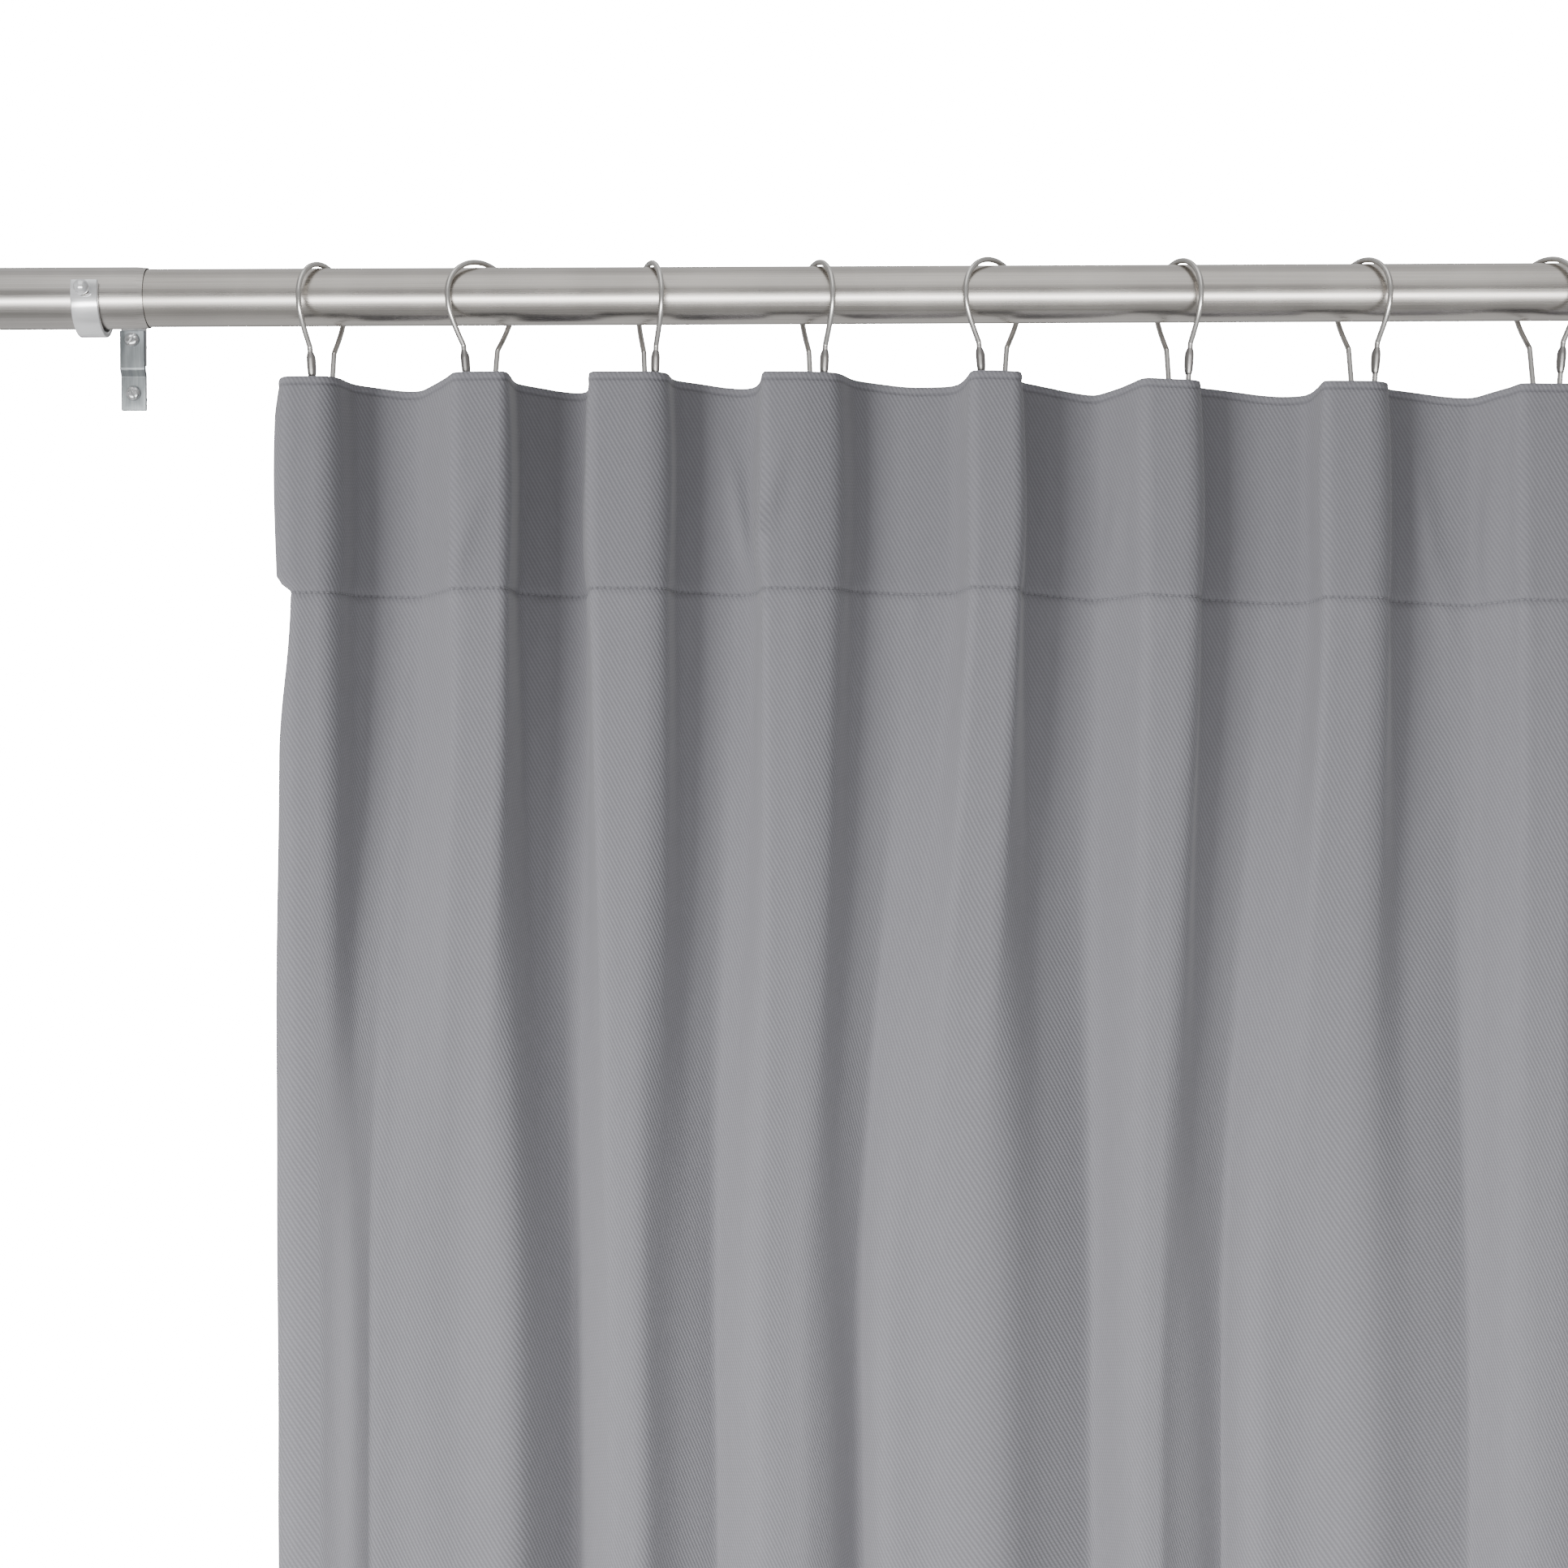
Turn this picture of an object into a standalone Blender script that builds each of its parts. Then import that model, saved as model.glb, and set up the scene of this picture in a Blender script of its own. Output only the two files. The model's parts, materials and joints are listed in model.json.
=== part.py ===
"""Window curtain on a telescoping rod: two wall brackets, nine sprung rings and one pleated panel.

World frame: +X along the rod towards the leading edge, +Y towards the wall, +Z up. The origin is
on the wall, at the back of the left bracket's wall plate. Lengths are in metres.

A bracket and a ring are built in their own frame, whose origin is the rod's axis. The heading of
the curtain lies across the front of each ring's legs, square to that ring, and dips back between.
"""

import math

import bmesh
import bpy
import numpy as np
from mathutils import Matrix, Vector

MM = 0.001

# Clearances
TOUCH_GAP = 0.3 * MM  # between two pieces that rest on each other
SCREW_GAP = 0.3 * MM  # round a screw in its hole
TUBE_GAP = 0.3 * MM  # radial, between the two rod tubes

# Rod
INNER_TUBE_RADIUS = 13.30 * MM
TUBE_WALL = 0.65 * MM
OUTER_TUBE_BORE = INNER_TUBE_RADIUS + TUBE_GAP
OUTER_TUBE_RADIUS = OUTER_TUBE_BORE + TUBE_WALL
TUBE_SIDES = 40
OUTER_TUBE_PAST_CLAMP = 26.0 * MM  # from the left bracket's middle to the outer tube's open end
ROD_OVERHANG = 120.0 * MM  # tube beyond each bracket's middle
TUBE_OVERLAP = 121.0 * MM  # inner tube held inside the outer one
CAP_FLANGE = 1.6 * MM  # how far an end cap stands out past its tube
CAP_LENGTH = 14.0 * MM
CAP_ROUNDING = 3.0 * MM
CAP_SPIGOT = 15.0 * MM
CAP_GROOVE = 0.8 * MM

# Brackets
BRACKET_SPACING = 866.0 * MM
PROJECTION = 80.0 * MM  # wall to the rod's axis
MOUNT_BELOW_ROD = 26.5 * MM
STRAP_WIDTH = 12.4 * MM
STRAP_THICKNESS = 2.3 * MM
LIP_HEIGHT = 9.5 * MM  # the cradle's front end above the rod's axis
ARM_RISE = 3.0 * MM  # the arm's middle above the rod's axis
STRAP_BEND = 3.0 * MM  # bend radius at the strap's middle
FOOT_DROP = 18.0 * MM  # the foot's lower end below the rod's axis
PLATE_THICKNESS = 2.3 * MM
PLATE_TOP_DROP = 1.0 * MM
PLATE_BOTTOM_DROP = 40.0 * MM
JOGGLE_DROP = 19.6 * MM
JOGGLE_RUN = 3.4 * MM
UPPER_SCREW_DROP = 6.8 * MM
LOWER_SCREW_DROP = 32.8 * MM

# Wall screws
WALL_SCREW_RADIUS = 1.9 * MM
WALL_SCREW_IN_WALL = 24.0 * MM
WALL_SCREW_POINT = 5.0 * MM
WALL_HEAD_RADIUS = 3.7 * MM
WALL_HEAD_HEIGHT = 2.4 * MM
SLOT_WIDTH = 1.0 * MM
SLOT_DEPTH = 1.1 * MM
UPPER_SLOT_DEG = 32.0
LOWER_SLOT_DEG = -24.0

# Set screws
SET_SCREW_RISE = 4.5 * MM  # above the rod's axis
SET_SCREW_RADIUS = 2.0 * MM
SET_HEAD_RADIUS = 3.5 * MM
SET_NECK_LENGTH = 1.2 * MM

# Rings
RING_PITCH = 81.4 * MM
FIRST_RING_X = 106.0 * MM
RING_DRIFT = (0, -8, -11, -15, -15, -10.5, -6.5, -3, 0)  # each ring off its even place, in mm
RING_YAW = (-21, -40, 18, 20, -41, 22, 25, 28, -20)  # degrees, positive with the front leg to +X
WIRE_RADIUS = 1.1 * MM
WIRE_SIDES = 8
LOOP_PLAY = 6.7 * MM  # how much larger the ring's round part is than the inner tube
LOOP_RADIUS = INNER_TUBE_RADIUS + LOOP_PLAY  # to the inside of the wire
NECK_HALF_WIDTH = 10.8 * MM
FOOT_HALF_WIDTH = 8.0 * MM  # half the space between the legs at the bottom, to wire middles
LEG_LENGTH = 22.5 * MM  # neck to the bottom bend
CLASP_BELOW_NECK = 2.5 * MM
CLASP_LENGTH = 11.0 * MM
CLASP_WALL = 0.6 * MM
GATE_TIP_IN_CLASP = 3.0 * MM  # the sprung leg's tip below the clasp's top
NECK_BEND = 2.5 * MM

# Curtain
CLOTH_THICKNESS = 1.2 * MM
TAPE_THICKNESS = 1.0 * MM
PANEL_LENGTH = 2134.0 * MM
HEADING_DEPTH = 101.6 * MM
HEADING_ABOVE_BEND = 10.5 * MM  # the panel's top edge above the bottom of the rings' legs
TAPE_INSET = 3.0 * MM  # the heading tape short of the panel's top and side edges
SEAT_DISTANCE = 13.5 * MM  # panel's middle in front of a ring's middle
SEAT_HALF_WIDTH = 12.0 * MM  # flat stretch of heading at a ring
VALLEY_SHARE = (0.40, 0.42, 0.42, 0.30, 0.36, 0.30, 0.33, 0.40)  # place between two seats
VALLEY_DEPTH = (20, 32, 28, 23, 34, 28, 29, 23)  # mm behind the rod's axis
SEAT_PULL = 0.30  # share of a chord that the cloth runs on straight past a seat
VALLEY_PULL = 0.45
EDGE_RETURN = (-3.0 * MM, 9.0 * MM)  # side edge from the last seat, outwards and back

# Heading loops
HEADING_LOOP_THICKNESS = 1.0 * MM
HEADING_LOOP_HEIGHT = 12.0 * MM
HEADING_LOOP_HALF_WIDTH = 11.0 * MM
HEADING_LOOP_FOOT = 2.6 * MM
HEADING_LOOP_CROWN = 4.2 * MM  # half width of the straight part behind the front leg

ROD_Y = -PROJECTION
ROD_Z = MOUNT_BELOW_ROD
CRADLE_RADIUS = OUTER_TUBE_RADIUS + TOUCH_GAP
RING_X = [FIRST_RING_X + i * RING_PITCH + drift * MM for i, drift in enumerate(RING_DRIFT)]
LOOP_MIDDLE_RADIUS = LOOP_RADIUS + WIRE_RADIUS
LOOP_DROP = LOOP_RADIUS - INNER_TUBE_RADIUS - TOUCH_GAP  # the loop hangs with its inside on the tube
NECK_DROP = LOOP_DROP + math.sqrt(LOOP_MIDDLE_RADIUS**2 - NECK_HALF_WIDTH**2)
LEG_END_DROP = NECK_DROP + LEG_LENGTH
CLASP_TOP_DROP = NECK_DROP + CLASP_BELOW_NECK
CLASP_BOTTOM_DROP = CLASP_TOP_DROP + CLASP_LENGTH
GATE_TIP_DROP = CLASP_TOP_DROP + GATE_TIP_IN_CLASP
HEADING_DROP = LEG_END_DROP - HEADING_ABOVE_BEND


# ---------------------------------------------------------------- scene and materials


def clear_scene():
    for obj in list(bpy.data.objects):
        bpy.data.objects.remove(obj, do_unlink=True)


def make_material(name, color, roughness, metallic):
    material = bpy.data.materials.new(name)
    material.use_nodes = True
    shader = material.node_tree.nodes["Principled BSDF"]
    shader.inputs["Base Color"].default_value = (*color, 1.0)
    shader.inputs["Roughness"].default_value = roughness
    shader.inputs["Metallic"].default_value = metallic
    return material


def brushed_nickel(name):
    return make_material(name, (0.56, 0.53, 0.50), 0.32, 1.0)


def ring_wire_nickel(name):
    return make_material(name, (0.72, 0.70, 0.66), 0.16, 1.0)


def polished_chrome(name):
    return make_material(name, (0.80, 0.81, 0.83), 0.08, 1.0)


def zinc_steel(name):
    return make_material(name, (0.47, 0.49, 0.51), 0.34, 1.0)


def grey_twill(name):
    return make_material(name, (0.33, 0.33, 0.37), 0.92, 0.0)


def heading_cotton(name):
    return make_material(name, (0.42, 0.42, 0.45), 0.95, 0.0)


def place(name, mesh, make_finish, location=(0, 0, 0), rotation=(0, 0, 0)):
    """Adds one object for a mesh. Copies that share a mesh keep a material slot each."""
    obj = bpy.data.objects.new(name, mesh)
    obj.location = location
    obj.rotation_euler = rotation
    bpy.context.scene.collection.objects.link(obj)
    if not mesh.materials:
        mesh.materials.append(None)
    obj.material_slots[0].link = "OBJECT"
    obj.material_slots[0].material = make_finish(name)
    return obj


# ---------------------------------------------------------------- mesh makers


def mesh_from(name, points, faces, smooth_deg=None):
    mesh = bpy.data.meshes.new(name)
    mesh.from_pydata([tuple(p) for p in points], [], faces)
    build = bmesh.new()
    build.from_mesh(mesh)
    bmesh.ops.recalc_face_normals(build, faces=build.faces)
    build.to_mesh(mesh)
    build.free()
    if smooth_deg:
        mesh.shade_smooth()
        mesh.set_sharp_from_angle(angle=math.radians(smooth_deg))
    return mesh


def strip_outline(path, below, above):
    """Closed outline of a strip along an open 2-D path: from `below` to `above` its left side."""
    path = np.asarray(path, float)
    run = np.diff(path, axis=0)
    run /= np.linalg.norm(run, axis=1)[:, None]
    left = np.column_stack([-run[:, 1], run[:, 0]])
    first, last = left[:1], left[-1:]
    corner = np.vstack([first, left[:-1] + left[1:], last])
    corner /= np.linalg.norm(corner, axis=1)[:, None]
    # a mitred corner is longer than the strip is thick
    along = np.vstack([first, left])
    stretch = 1.0 / np.sum(corner * along, axis=1)
    corner *= stretch[:, None]
    return np.vstack([path + corner * below, (path + corner * above)[::-1]])


def extrude_outline(name, outline, axes, low, high, smooth_deg=None):
    """Solid of a closed 2-D outline drawn on two axes ("YZ") and extruded along the third."""
    plane = ["XYZ".index(letter) for letter in axes]
    third = 3 - sum(plane)
    count = len(outline)
    points = np.zeros((2 * count, 3))
    points[:count, plane] = outline
    points[count:, plane] = outline
    points[:count, third] = low
    points[count:, third] = high
    sides = [(i, (i + 1) % count, count + (i + 1) % count, count + i) for i in range(count)]
    caps = [tuple(range(count)), tuple(range(count, 2 * count))]
    return mesh_from(name, points, sides + caps, smooth_deg)


def extrude_strip(name, path, below, above, axes, low, high, smooth_deg=None):
    """As extrude_outline for a strip: its caps are one four-sided face per step of the path."""
    outline = strip_outline(path, below, above)
    plane = ["XYZ".index(letter) for letter in axes]
    third = 3 - sum(plane)
    count, steps = len(outline), len(path)
    points = np.zeros((2 * count, 3))
    points[:count, plane] = outline
    points[count:, plane] = outline
    points[:count, third] = low
    points[count:, third] = high
    faces = [(i, (i + 1) % count, count + (i + 1) % count, count + i) for i in range(count)]
    for i in range(steps - 1):
        quad = (i, i + 1, count - 2 - i, count - 1 - i)
        faces += [quad, tuple(count + j for j in quad)]
    return mesh_from(name, points, faces, smooth_deg)


def turn_profile(name, profile, sides, hollow=False, smooth_deg=40):
    """Solid turned round the X axis from (x, radius) points. A hollow profile is a closed loop."""
    profile = np.asarray(profile, float)
    angle = 2 * np.pi * np.arange(sides) / sides
    x = np.repeat(profile[:, 0], sides)
    radius = np.repeat(profile[:, 1], sides)
    turn = np.tile(angle, len(profile))
    points = np.column_stack([x, radius * np.cos(turn), radius * np.sin(turn)])
    rows = len(profile)
    faces = []
    for row in range(rows if hollow else rows - 1):
        after = (row + 1) % rows
        for i in range(sides):
            j = (i + 1) % sides
            faces.append((row * sides + i, row * sides + j, after * sides + j, after * sides + i))
    mesh = bpy.data.meshes.new(name)
    mesh.from_pydata([tuple(p) for p in points], [], faces)
    build = bmesh.new()
    build.from_mesh(mesh)
    # the points of a pole lie together
    bmesh.ops.remove_doubles(build, verts=build.verts, dist=1e-7)
    bmesh.ops.dissolve_degenerate(build, edges=build.edges, dist=1e-8)
    bmesh.ops.recalc_face_normals(build, faces=build.faces)
    build.to_mesh(mesh)
    build.free()
    mesh.shade_smooth()
    mesh.set_sharp_from_angle(angle=math.radians(smooth_deg))
    return mesh


def wire_mesh(name, path, radius, sides):
    """Round wire along an open path in the YZ plane, with flat ends."""
    path = np.asarray(path, float)
    run = np.gradient(path, axis=0)
    step = np.diff(path, axis=0)
    step /= np.linalg.norm(step, axis=1)[:, None]
    run[0], run[-1] = step[0], step[-1]
    run[1:-1] = step[:-1] + step[1:]
    run /= np.linalg.norm(run, axis=1)[:, None]
    side = np.column_stack([np.zeros(len(run)), -run[:, 1], run[:, 0]])
    angle = 2 * np.pi * (np.arange(sides) + 0.5) / sides
    centre = np.column_stack([np.zeros(len(path)), path])
    across = np.array([1.0, 0.0, 0.0])
    ring = np.cos(angle)[:, None, None] * across + np.sin(angle)[:, None, None] * side
    points = (centre[None] + radius * ring).transpose(1, 0, 2).reshape(-1, 3)
    faces = []
    for row in range(len(path) - 1):
        for i in range(sides):
            j = (i + 1) % sides
            a, b = row * sides, (row + 1) * sides
            faces.append((a + i, a + j, b + j, b + i))
    faces.append(tuple(range(sides)))
    faces.append(tuple(range((len(path) - 1) * sides, len(path) * sides)))
    return mesh_from(name, points, faces, 50)


def helper_object(name, mesh):
    obj = bpy.data.objects.new(name, mesh)
    obj.hide_render = True
    obj.display_type = "WIRE"
    bpy.context.scene.collection.objects.link(obj)
    return obj


def combined(mesh, others, operation):
    """The mesh after a Boolean with each of the others, all in one frame."""
    base = helper_object("base", mesh)
    helpers = [helper_object("helper", other) for other in others]
    for helper in helpers:
        boolean = base.modifiers.new("boolean", "BOOLEAN")
        boolean.operation = operation
        boolean.object = helper
        boolean.solver = "EXACT"
    bpy.context.view_layer.update()
    graph = bpy.context.evaluated_depsgraph_get()
    result = bpy.data.meshes.new_from_object(base.evaluated_get(graph))
    for obj in [base, *helpers]:
        bpy.data.objects.remove(obj, do_unlink=True)
    return result


def drill(radius, centre_z, low_y, high_y):
    """Cutter for a round hole along Y through a strap."""
    mesh = turn_profile("drill", [(low_y, 0), (low_y, radius), (high_y, radius), (high_y, 0)], 24)
    mesh.transform(Matrix.Translation((0, 0, centre_z)) @ Matrix.Rotation(math.pi / 2, 4, "Z"))
    return mesh


def arc(centre, radius, start_deg, end_deg, steps):
    angle = np.radians(np.linspace(start_deg, end_deg, steps + 1))
    return np.column_stack([centre[0] + radius * np.cos(angle), centre[1] + radius * np.sin(angle)])


def rounded_corner(before, corner, after, radius, steps):
    """Points of an arc that rounds the corner between two straight runs."""
    before, corner, after = (np.asarray(p, float) for p in (before, corner, after))
    back = (before - corner) / np.linalg.norm(before - corner)
    ahead = (after - corner) / np.linalg.norm(after - corner)
    half = math.acos(np.clip(back @ ahead, -1, 1)) / 2
    reach = radius / math.tan(half)
    middle = (back + ahead) / np.linalg.norm(back + ahead)
    centre = corner + middle * radius / math.sin(half)
    first = corner + back * reach - centre
    last = corner + ahead * reach - centre
    share = np.linspace(0, 1, steps + 1)[:, None]
    swing = first * (1 - share) + last * share
    return centre + radius * swing / np.linalg.norm(swing, axis=1)[:, None]


# ---------------------------------------------------------------- rod


def tube_mesh(name, left, right, radius, bore):
    profile = [(left, radius), (right, radius), (right, bore), (left, bore)]
    return turn_profile(name, profile, TUBE_SIDES, hollow=True)


def end_cap_mesh(name, tube_radius, bore):
    """Cap with its spigot in the tube: the tube ends at x = 0 and the cap stands beyond it."""
    outer = tube_radius + CAP_FLANGE
    spigot = bore - TUBE_GAP
    face = TOUCH_GAP + CAP_LENGTH
    groove = TOUCH_GAP + CAP_LENGTH * 0.35
    rounding = arc((face - CAP_ROUNDING, outer - CAP_ROUNDING), CAP_ROUNDING, 90, 0, 4)
    profile = [(-CAP_SPIGOT, 0), (-CAP_SPIGOT, spigot), (TOUCH_GAP, spigot), (TOUCH_GAP, outer)]
    profile += [(groove, outer), (groove, outer - CAP_GROOVE)]
    profile += [(groove + CAP_GROOVE, outer - CAP_GROOVE), (groove + CAP_GROOVE, outer)]
    profile += [tuple(p) for p in rounding] + [(face, 0)]
    return turn_profile(name, profile, TUBE_SIDES)


def make_rod():
    left_end = -ROD_OVERHANG
    joint = OUTER_TUBE_PAST_CLAMP
    right_end = BRACKET_SPACING + ROD_OVERHANG
    inner_start = joint - TUBE_OVERLAP
    at = (0, ROD_Y, ROD_Z)
    outer = tube_mesh("rod_outer_tube", left_end, joint, OUTER_TUBE_RADIUS, OUTER_TUBE_BORE)
    place("rod_outer_tube", outer, brushed_nickel, at)
    inner_bore = INNER_TUBE_RADIUS - TUBE_WALL
    inner = tube_mesh("rod_inner_tube", inner_start, right_end, INNER_TUBE_RADIUS, inner_bore)
    place("rod_inner_tube", inner, brushed_nickel, at)
    left_cap = end_cap_mesh("end_cap_left", OUTER_TUBE_RADIUS, OUTER_TUBE_BORE)
    place("end_cap_left", left_cap, brushed_nickel, (left_end, ROD_Y, ROD_Z), (0, 0, math.pi))
    right_cap = end_cap_mesh("end_cap_right", INNER_TUBE_RADIUS, inner_bore)
    place("end_cap_right", right_cap, brushed_nickel, (right_end, ROD_Y, ROD_Z))


# ---------------------------------------------------------------- brackets


def strap_path():
    """Middle line of the cradle, arm and foot, as (y, z) from the rod's axis."""
    half = STRAP_THICKNESS / 2
    middle = CRADLE_RADIUS + half
    foot_y = PROJECTION - half
    cradle = arc((0, 0), middle, 180, 360, 20)
    arm_start = (middle, ARM_RISE)
    arm_end = (foot_y, ARM_RISE)
    foot_end = (foot_y, -FOOT_DROP)
    front_bend = rounded_corner((middle, 0), arm_start, arm_end, STRAP_BEND, 5)[1:]
    wall_bend = rounded_corner(arm_start, arm_end, foot_end, STRAP_BEND, 5)
    return np.vstack([[(-middle, LIP_HEIGHT)], cradle, front_bend, wall_bend, [foot_end]])


def bracket_arm_mesh():
    half = STRAP_THICKNESS / 2
    low, high = -STRAP_WIDTH / 2, STRAP_WIDTH / 2
    strap = extrude_strip("bracket_arm", strap_path(), -half, half, "YZ", low, high, 30)
    lip = -CRADLE_RADIUS - half
    screw_hole = drill(SET_SCREW_RADIUS + SCREW_GAP, SET_SCREW_RISE, lip - 4 * half, lip + 4 * half)
    foot = PROJECTION - half
    wall_hole = drill(WALL_SCREW_RADIUS + SCREW_GAP, -UPPER_SCREW_DROP, foot - 4 * half, foot + 4 * half)
    return combined(strap, [screw_hole, wall_hole], "DIFFERENCE")


def wall_plate_mesh():
    """Cover strap: its upper half lies over the arm's foot, its lower half on the wall."""
    half = PLATE_THICKNESS / 2
    front = PROJECTION - STRAP_THICKNESS - TOUCH_GAP - half
    back = PROJECTION - half
    top = (front, -PLATE_TOP_DROP)
    upper_knee = (front, -JOGGLE_DROP)
    lower_knee = (back, -JOGGLE_DROP - JOGGLE_RUN)
    bottom = (back, -PLATE_BOTTOM_DROP)
    path = [top, upper_knee, lower_knee, bottom]
    low, high = -STRAP_WIDTH / 2, STRAP_WIDTH / 2
    plate = extrude_strip("wall_plate", path, -half, half, "YZ", low, high, 20)
    hole = WALL_SCREW_RADIUS + SCREW_GAP
    upper = drill(hole, -UPPER_SCREW_DROP, front - 2 * half, front + 2 * half)
    lower = drill(hole, -LOWER_SCREW_DROP, back - 2 * half, back + 2 * half)
    return combined(plate, [upper, lower], "DIFFERENCE")


def wall_screw_mesh(length):
    """Slotted round-head screw along X, head at negative x, with the head's underside at 0."""
    head = arc((0, 0), 1.0, 180, 90, 4)
    crown = [(x * WALL_HEAD_HEIGHT, y * WALL_HEAD_RADIUS) for x, y in head]
    shank = [(0, WALL_SCREW_RADIUS), (length - WALL_SCREW_POINT, WALL_SCREW_RADIUS), (length, 0)]
    screw = turn_profile("wall_screw", crown + shank, 24)
    slot_floor = -WALL_HEAD_HEIGHT + SLOT_DEPTH
    wide, half = 2 * WALL_HEAD_RADIUS, SLOT_WIDTH / 2
    outline = [(-2 * WALL_HEAD_HEIGHT, -half), (slot_floor, -half), (slot_floor, half)]
    outline.append((-2 * WALL_HEAD_HEIGHT, half))
    slot = extrude_outline("slot", np.array(outline), "XY", -wide, wide)
    return combined(screw, [slot], "DIFFERENCE")


def set_screw_mesh(length):
    """Ball-headed screw along X, the ball at negative x, with the strap's face at x = 0."""
    neck = -TOUCH_GAP
    start = neck - SET_NECK_LENGTH
    reach = math.degrees(math.asin(SET_SCREW_RADIUS / SET_HEAD_RADIUS))
    centre = start - SET_HEAD_RADIUS * math.cos(math.radians(reach))
    ball = [tuple(p) for p in arc((centre, 0), SET_HEAD_RADIUS, 180, reach, 8)]
    profile = ball + [(length, SET_SCREW_RADIUS), (length, 0)]
    return turn_profile("set_screw", profile, 24)


def make_bracket(side, x, rise):
    """One bracket. `rise` lifts it so that a thinner tube still rests on the cradle's floor."""
    axis = Vector((x, ROD_Y, ROD_Z + rise))
    place(f"{side}_bracket_arm", bracket_arm_mesh(), polished_chrome, axis)
    place(f"{side}_wall_plate", wall_plate_mesh(), zinc_steel, axis)
    plate_front = PROJECTION - PLATE_THICKNESS
    seats = {
        "upper": (plate_front - STRAP_THICKNESS - TOUCH_GAP, -UPPER_SCREW_DROP, UPPER_SLOT_DEG),
        "lower": (plate_front, -LOWER_SCREW_DROP, LOWER_SLOT_DEG),
    }
    for name, (y, z, slot_deg) in seats.items():
        head_y = y - TOUCH_GAP
        length = PROJECTION - head_y + WALL_SCREW_IN_WALL
        turned = Matrix.Rotation(math.pi / 2, 4, "Z") @ Matrix.Rotation(math.radians(slot_deg), 4, "X")
        mesh = wall_screw_mesh(length)
        mesh.transform(turned)
        place(f"{side}_wall_screw_{name}", mesh, zinc_steel, axis + Vector((0, head_y, z)))
    lip_face = -CRADLE_RADIUS - STRAP_THICKNESS
    tube_radius = OUTER_TUBE_RADIUS - rise
    tip = -math.sqrt(tube_radius**2 - (SET_SCREW_RISE + rise - SET_SCREW_RADIUS) ** 2) - TOUCH_GAP
    mesh = set_screw_mesh(tip - lip_face)
    mesh.transform(Matrix.Rotation(math.pi / 2, 4, "Z"))
    place(f"{side}_set_screw", mesh, polished_chrome, axis + Vector((0, lip_face, SET_SCREW_RISE)))


def make_brackets():
    make_bracket("left", 0.0, 0.0)
    make_bracket("right", BRACKET_SPACING, OUTER_TUBE_RADIUS - INNER_TUBE_RADIUS)


# ---------------------------------------------------------------- rings


def ring_lift(yaw):
    """How much higher a turned ring rides, because its loop then meets the tube beside the top."""
    turn = math.radians(abs(yaw))
    if LOOP_MIDDLE_RADIUS * math.sin(turn) ** 2 <= LOOP_DROP:
        return 0.0
    reach = LOOP_MIDDLE_RADIUS - LOOP_DROP
    return LOOP_DROP - math.sqrt((LOOP_MIDDLE_RADIUS * math.cos(turn)) ** 2 - reach**2) * math.tan(turn)


def leg_half_width(drop):
    """Half the space between the straight legs at a height, to the wire's middle."""
    share = (drop - NECK_DROP) / LEG_LENGTH
    return NECK_HALF_WIDTH + share * (FOOT_HALF_WIDTH - NECK_HALF_WIDTH)


def ring_path():
    """Wire from the clasp, up the front, over the rod, down the back leg and round the bottom."""
    neck_deg = math.degrees(math.asin(NECK_HALF_WIDTH / LOOP_MIDDLE_RADIUS))
    inside = math.degrees(NECK_BEND / LOOP_MIDDLE_RADIUS)
    start, end = 270 - neck_deg - inside, -90 + neck_deg + inside
    loop = arc((0, -LOOP_DROP), LOOP_MIDDLE_RADIUS, start, end, 30)
    front_drop = CLASP_TOP_DROP + 2 * WIRE_RADIUS
    clasp = (-leg_half_width(front_drop), -front_drop)
    bend_drop = NECK_DROP + NECK_BEND
    below_front = (-leg_half_width(bend_drop), -bend_drop)
    below_back = (leg_half_width(bend_drop), -bend_drop)
    bottom = arc((0, -LEG_END_DROP), FOOT_HALF_WIDTH, 0, -180, 8)
    return np.vstack([[clasp], [below_front], loop, [below_back], bottom])


def clasp_mesh():
    """Channel open to the back, folded round the gate's tip, narrower at its lower end."""
    inside = WIRE_RADIUS + TOUCH_GAP
    outside = inside + CLASP_WALL
    cheek = WIRE_RADIUS
    rows = ((CLASP_BOTTOM_DROP, 0.0), (CLASP_TOP_DROP, WIRE_RADIUS))
    points = []
    for drop, web in rows:
        middle = -leg_half_width(drop)
        section = [(outside, cheek), (outside, -outside), (-outside, -outside), (-outside, cheek)]
        section += [(-inside, cheek), (-inside, -inside), (inside, -inside), (inside, cheek)]
        points += [(x, middle + y, -drop) for x, y in section]
    faces = [(i, (i + 1) % 8, 8 + (i + 1) % 8, 8 + i) for i in range(8)]
    faces += [(0, 1, 6, 7), (1, 2, 5, 6), (2, 3, 4, 5)]
    faces += [(8, 9, 14, 15), (9, 10, 13, 14), (10, 11, 12, 13)]
    return mesh_from("clasp", points, faces)


def ring_mesh():
    wire = wire_mesh("ring", ring_path(), WIRE_RADIUS, WIRE_SIDES)
    middle = -leg_half_width(CLASP_TOP_DROP)
    wide = WIRE_RADIUS + TOUCH_GAP + CLASP_WALL / 2
    outline = np.array([(-wide, middle - wide), (wide, middle - wide), (wide, middle), (-wide, middle)])
    plug_low = -CLASP_TOP_DROP - 1.5 * WIRE_RADIUS
    plug = extrude_outline("plug", outline, "XY", plug_low, -CLASP_TOP_DROP)
    return combined(wire, [clasp_mesh(), plug], "UNION")


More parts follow.
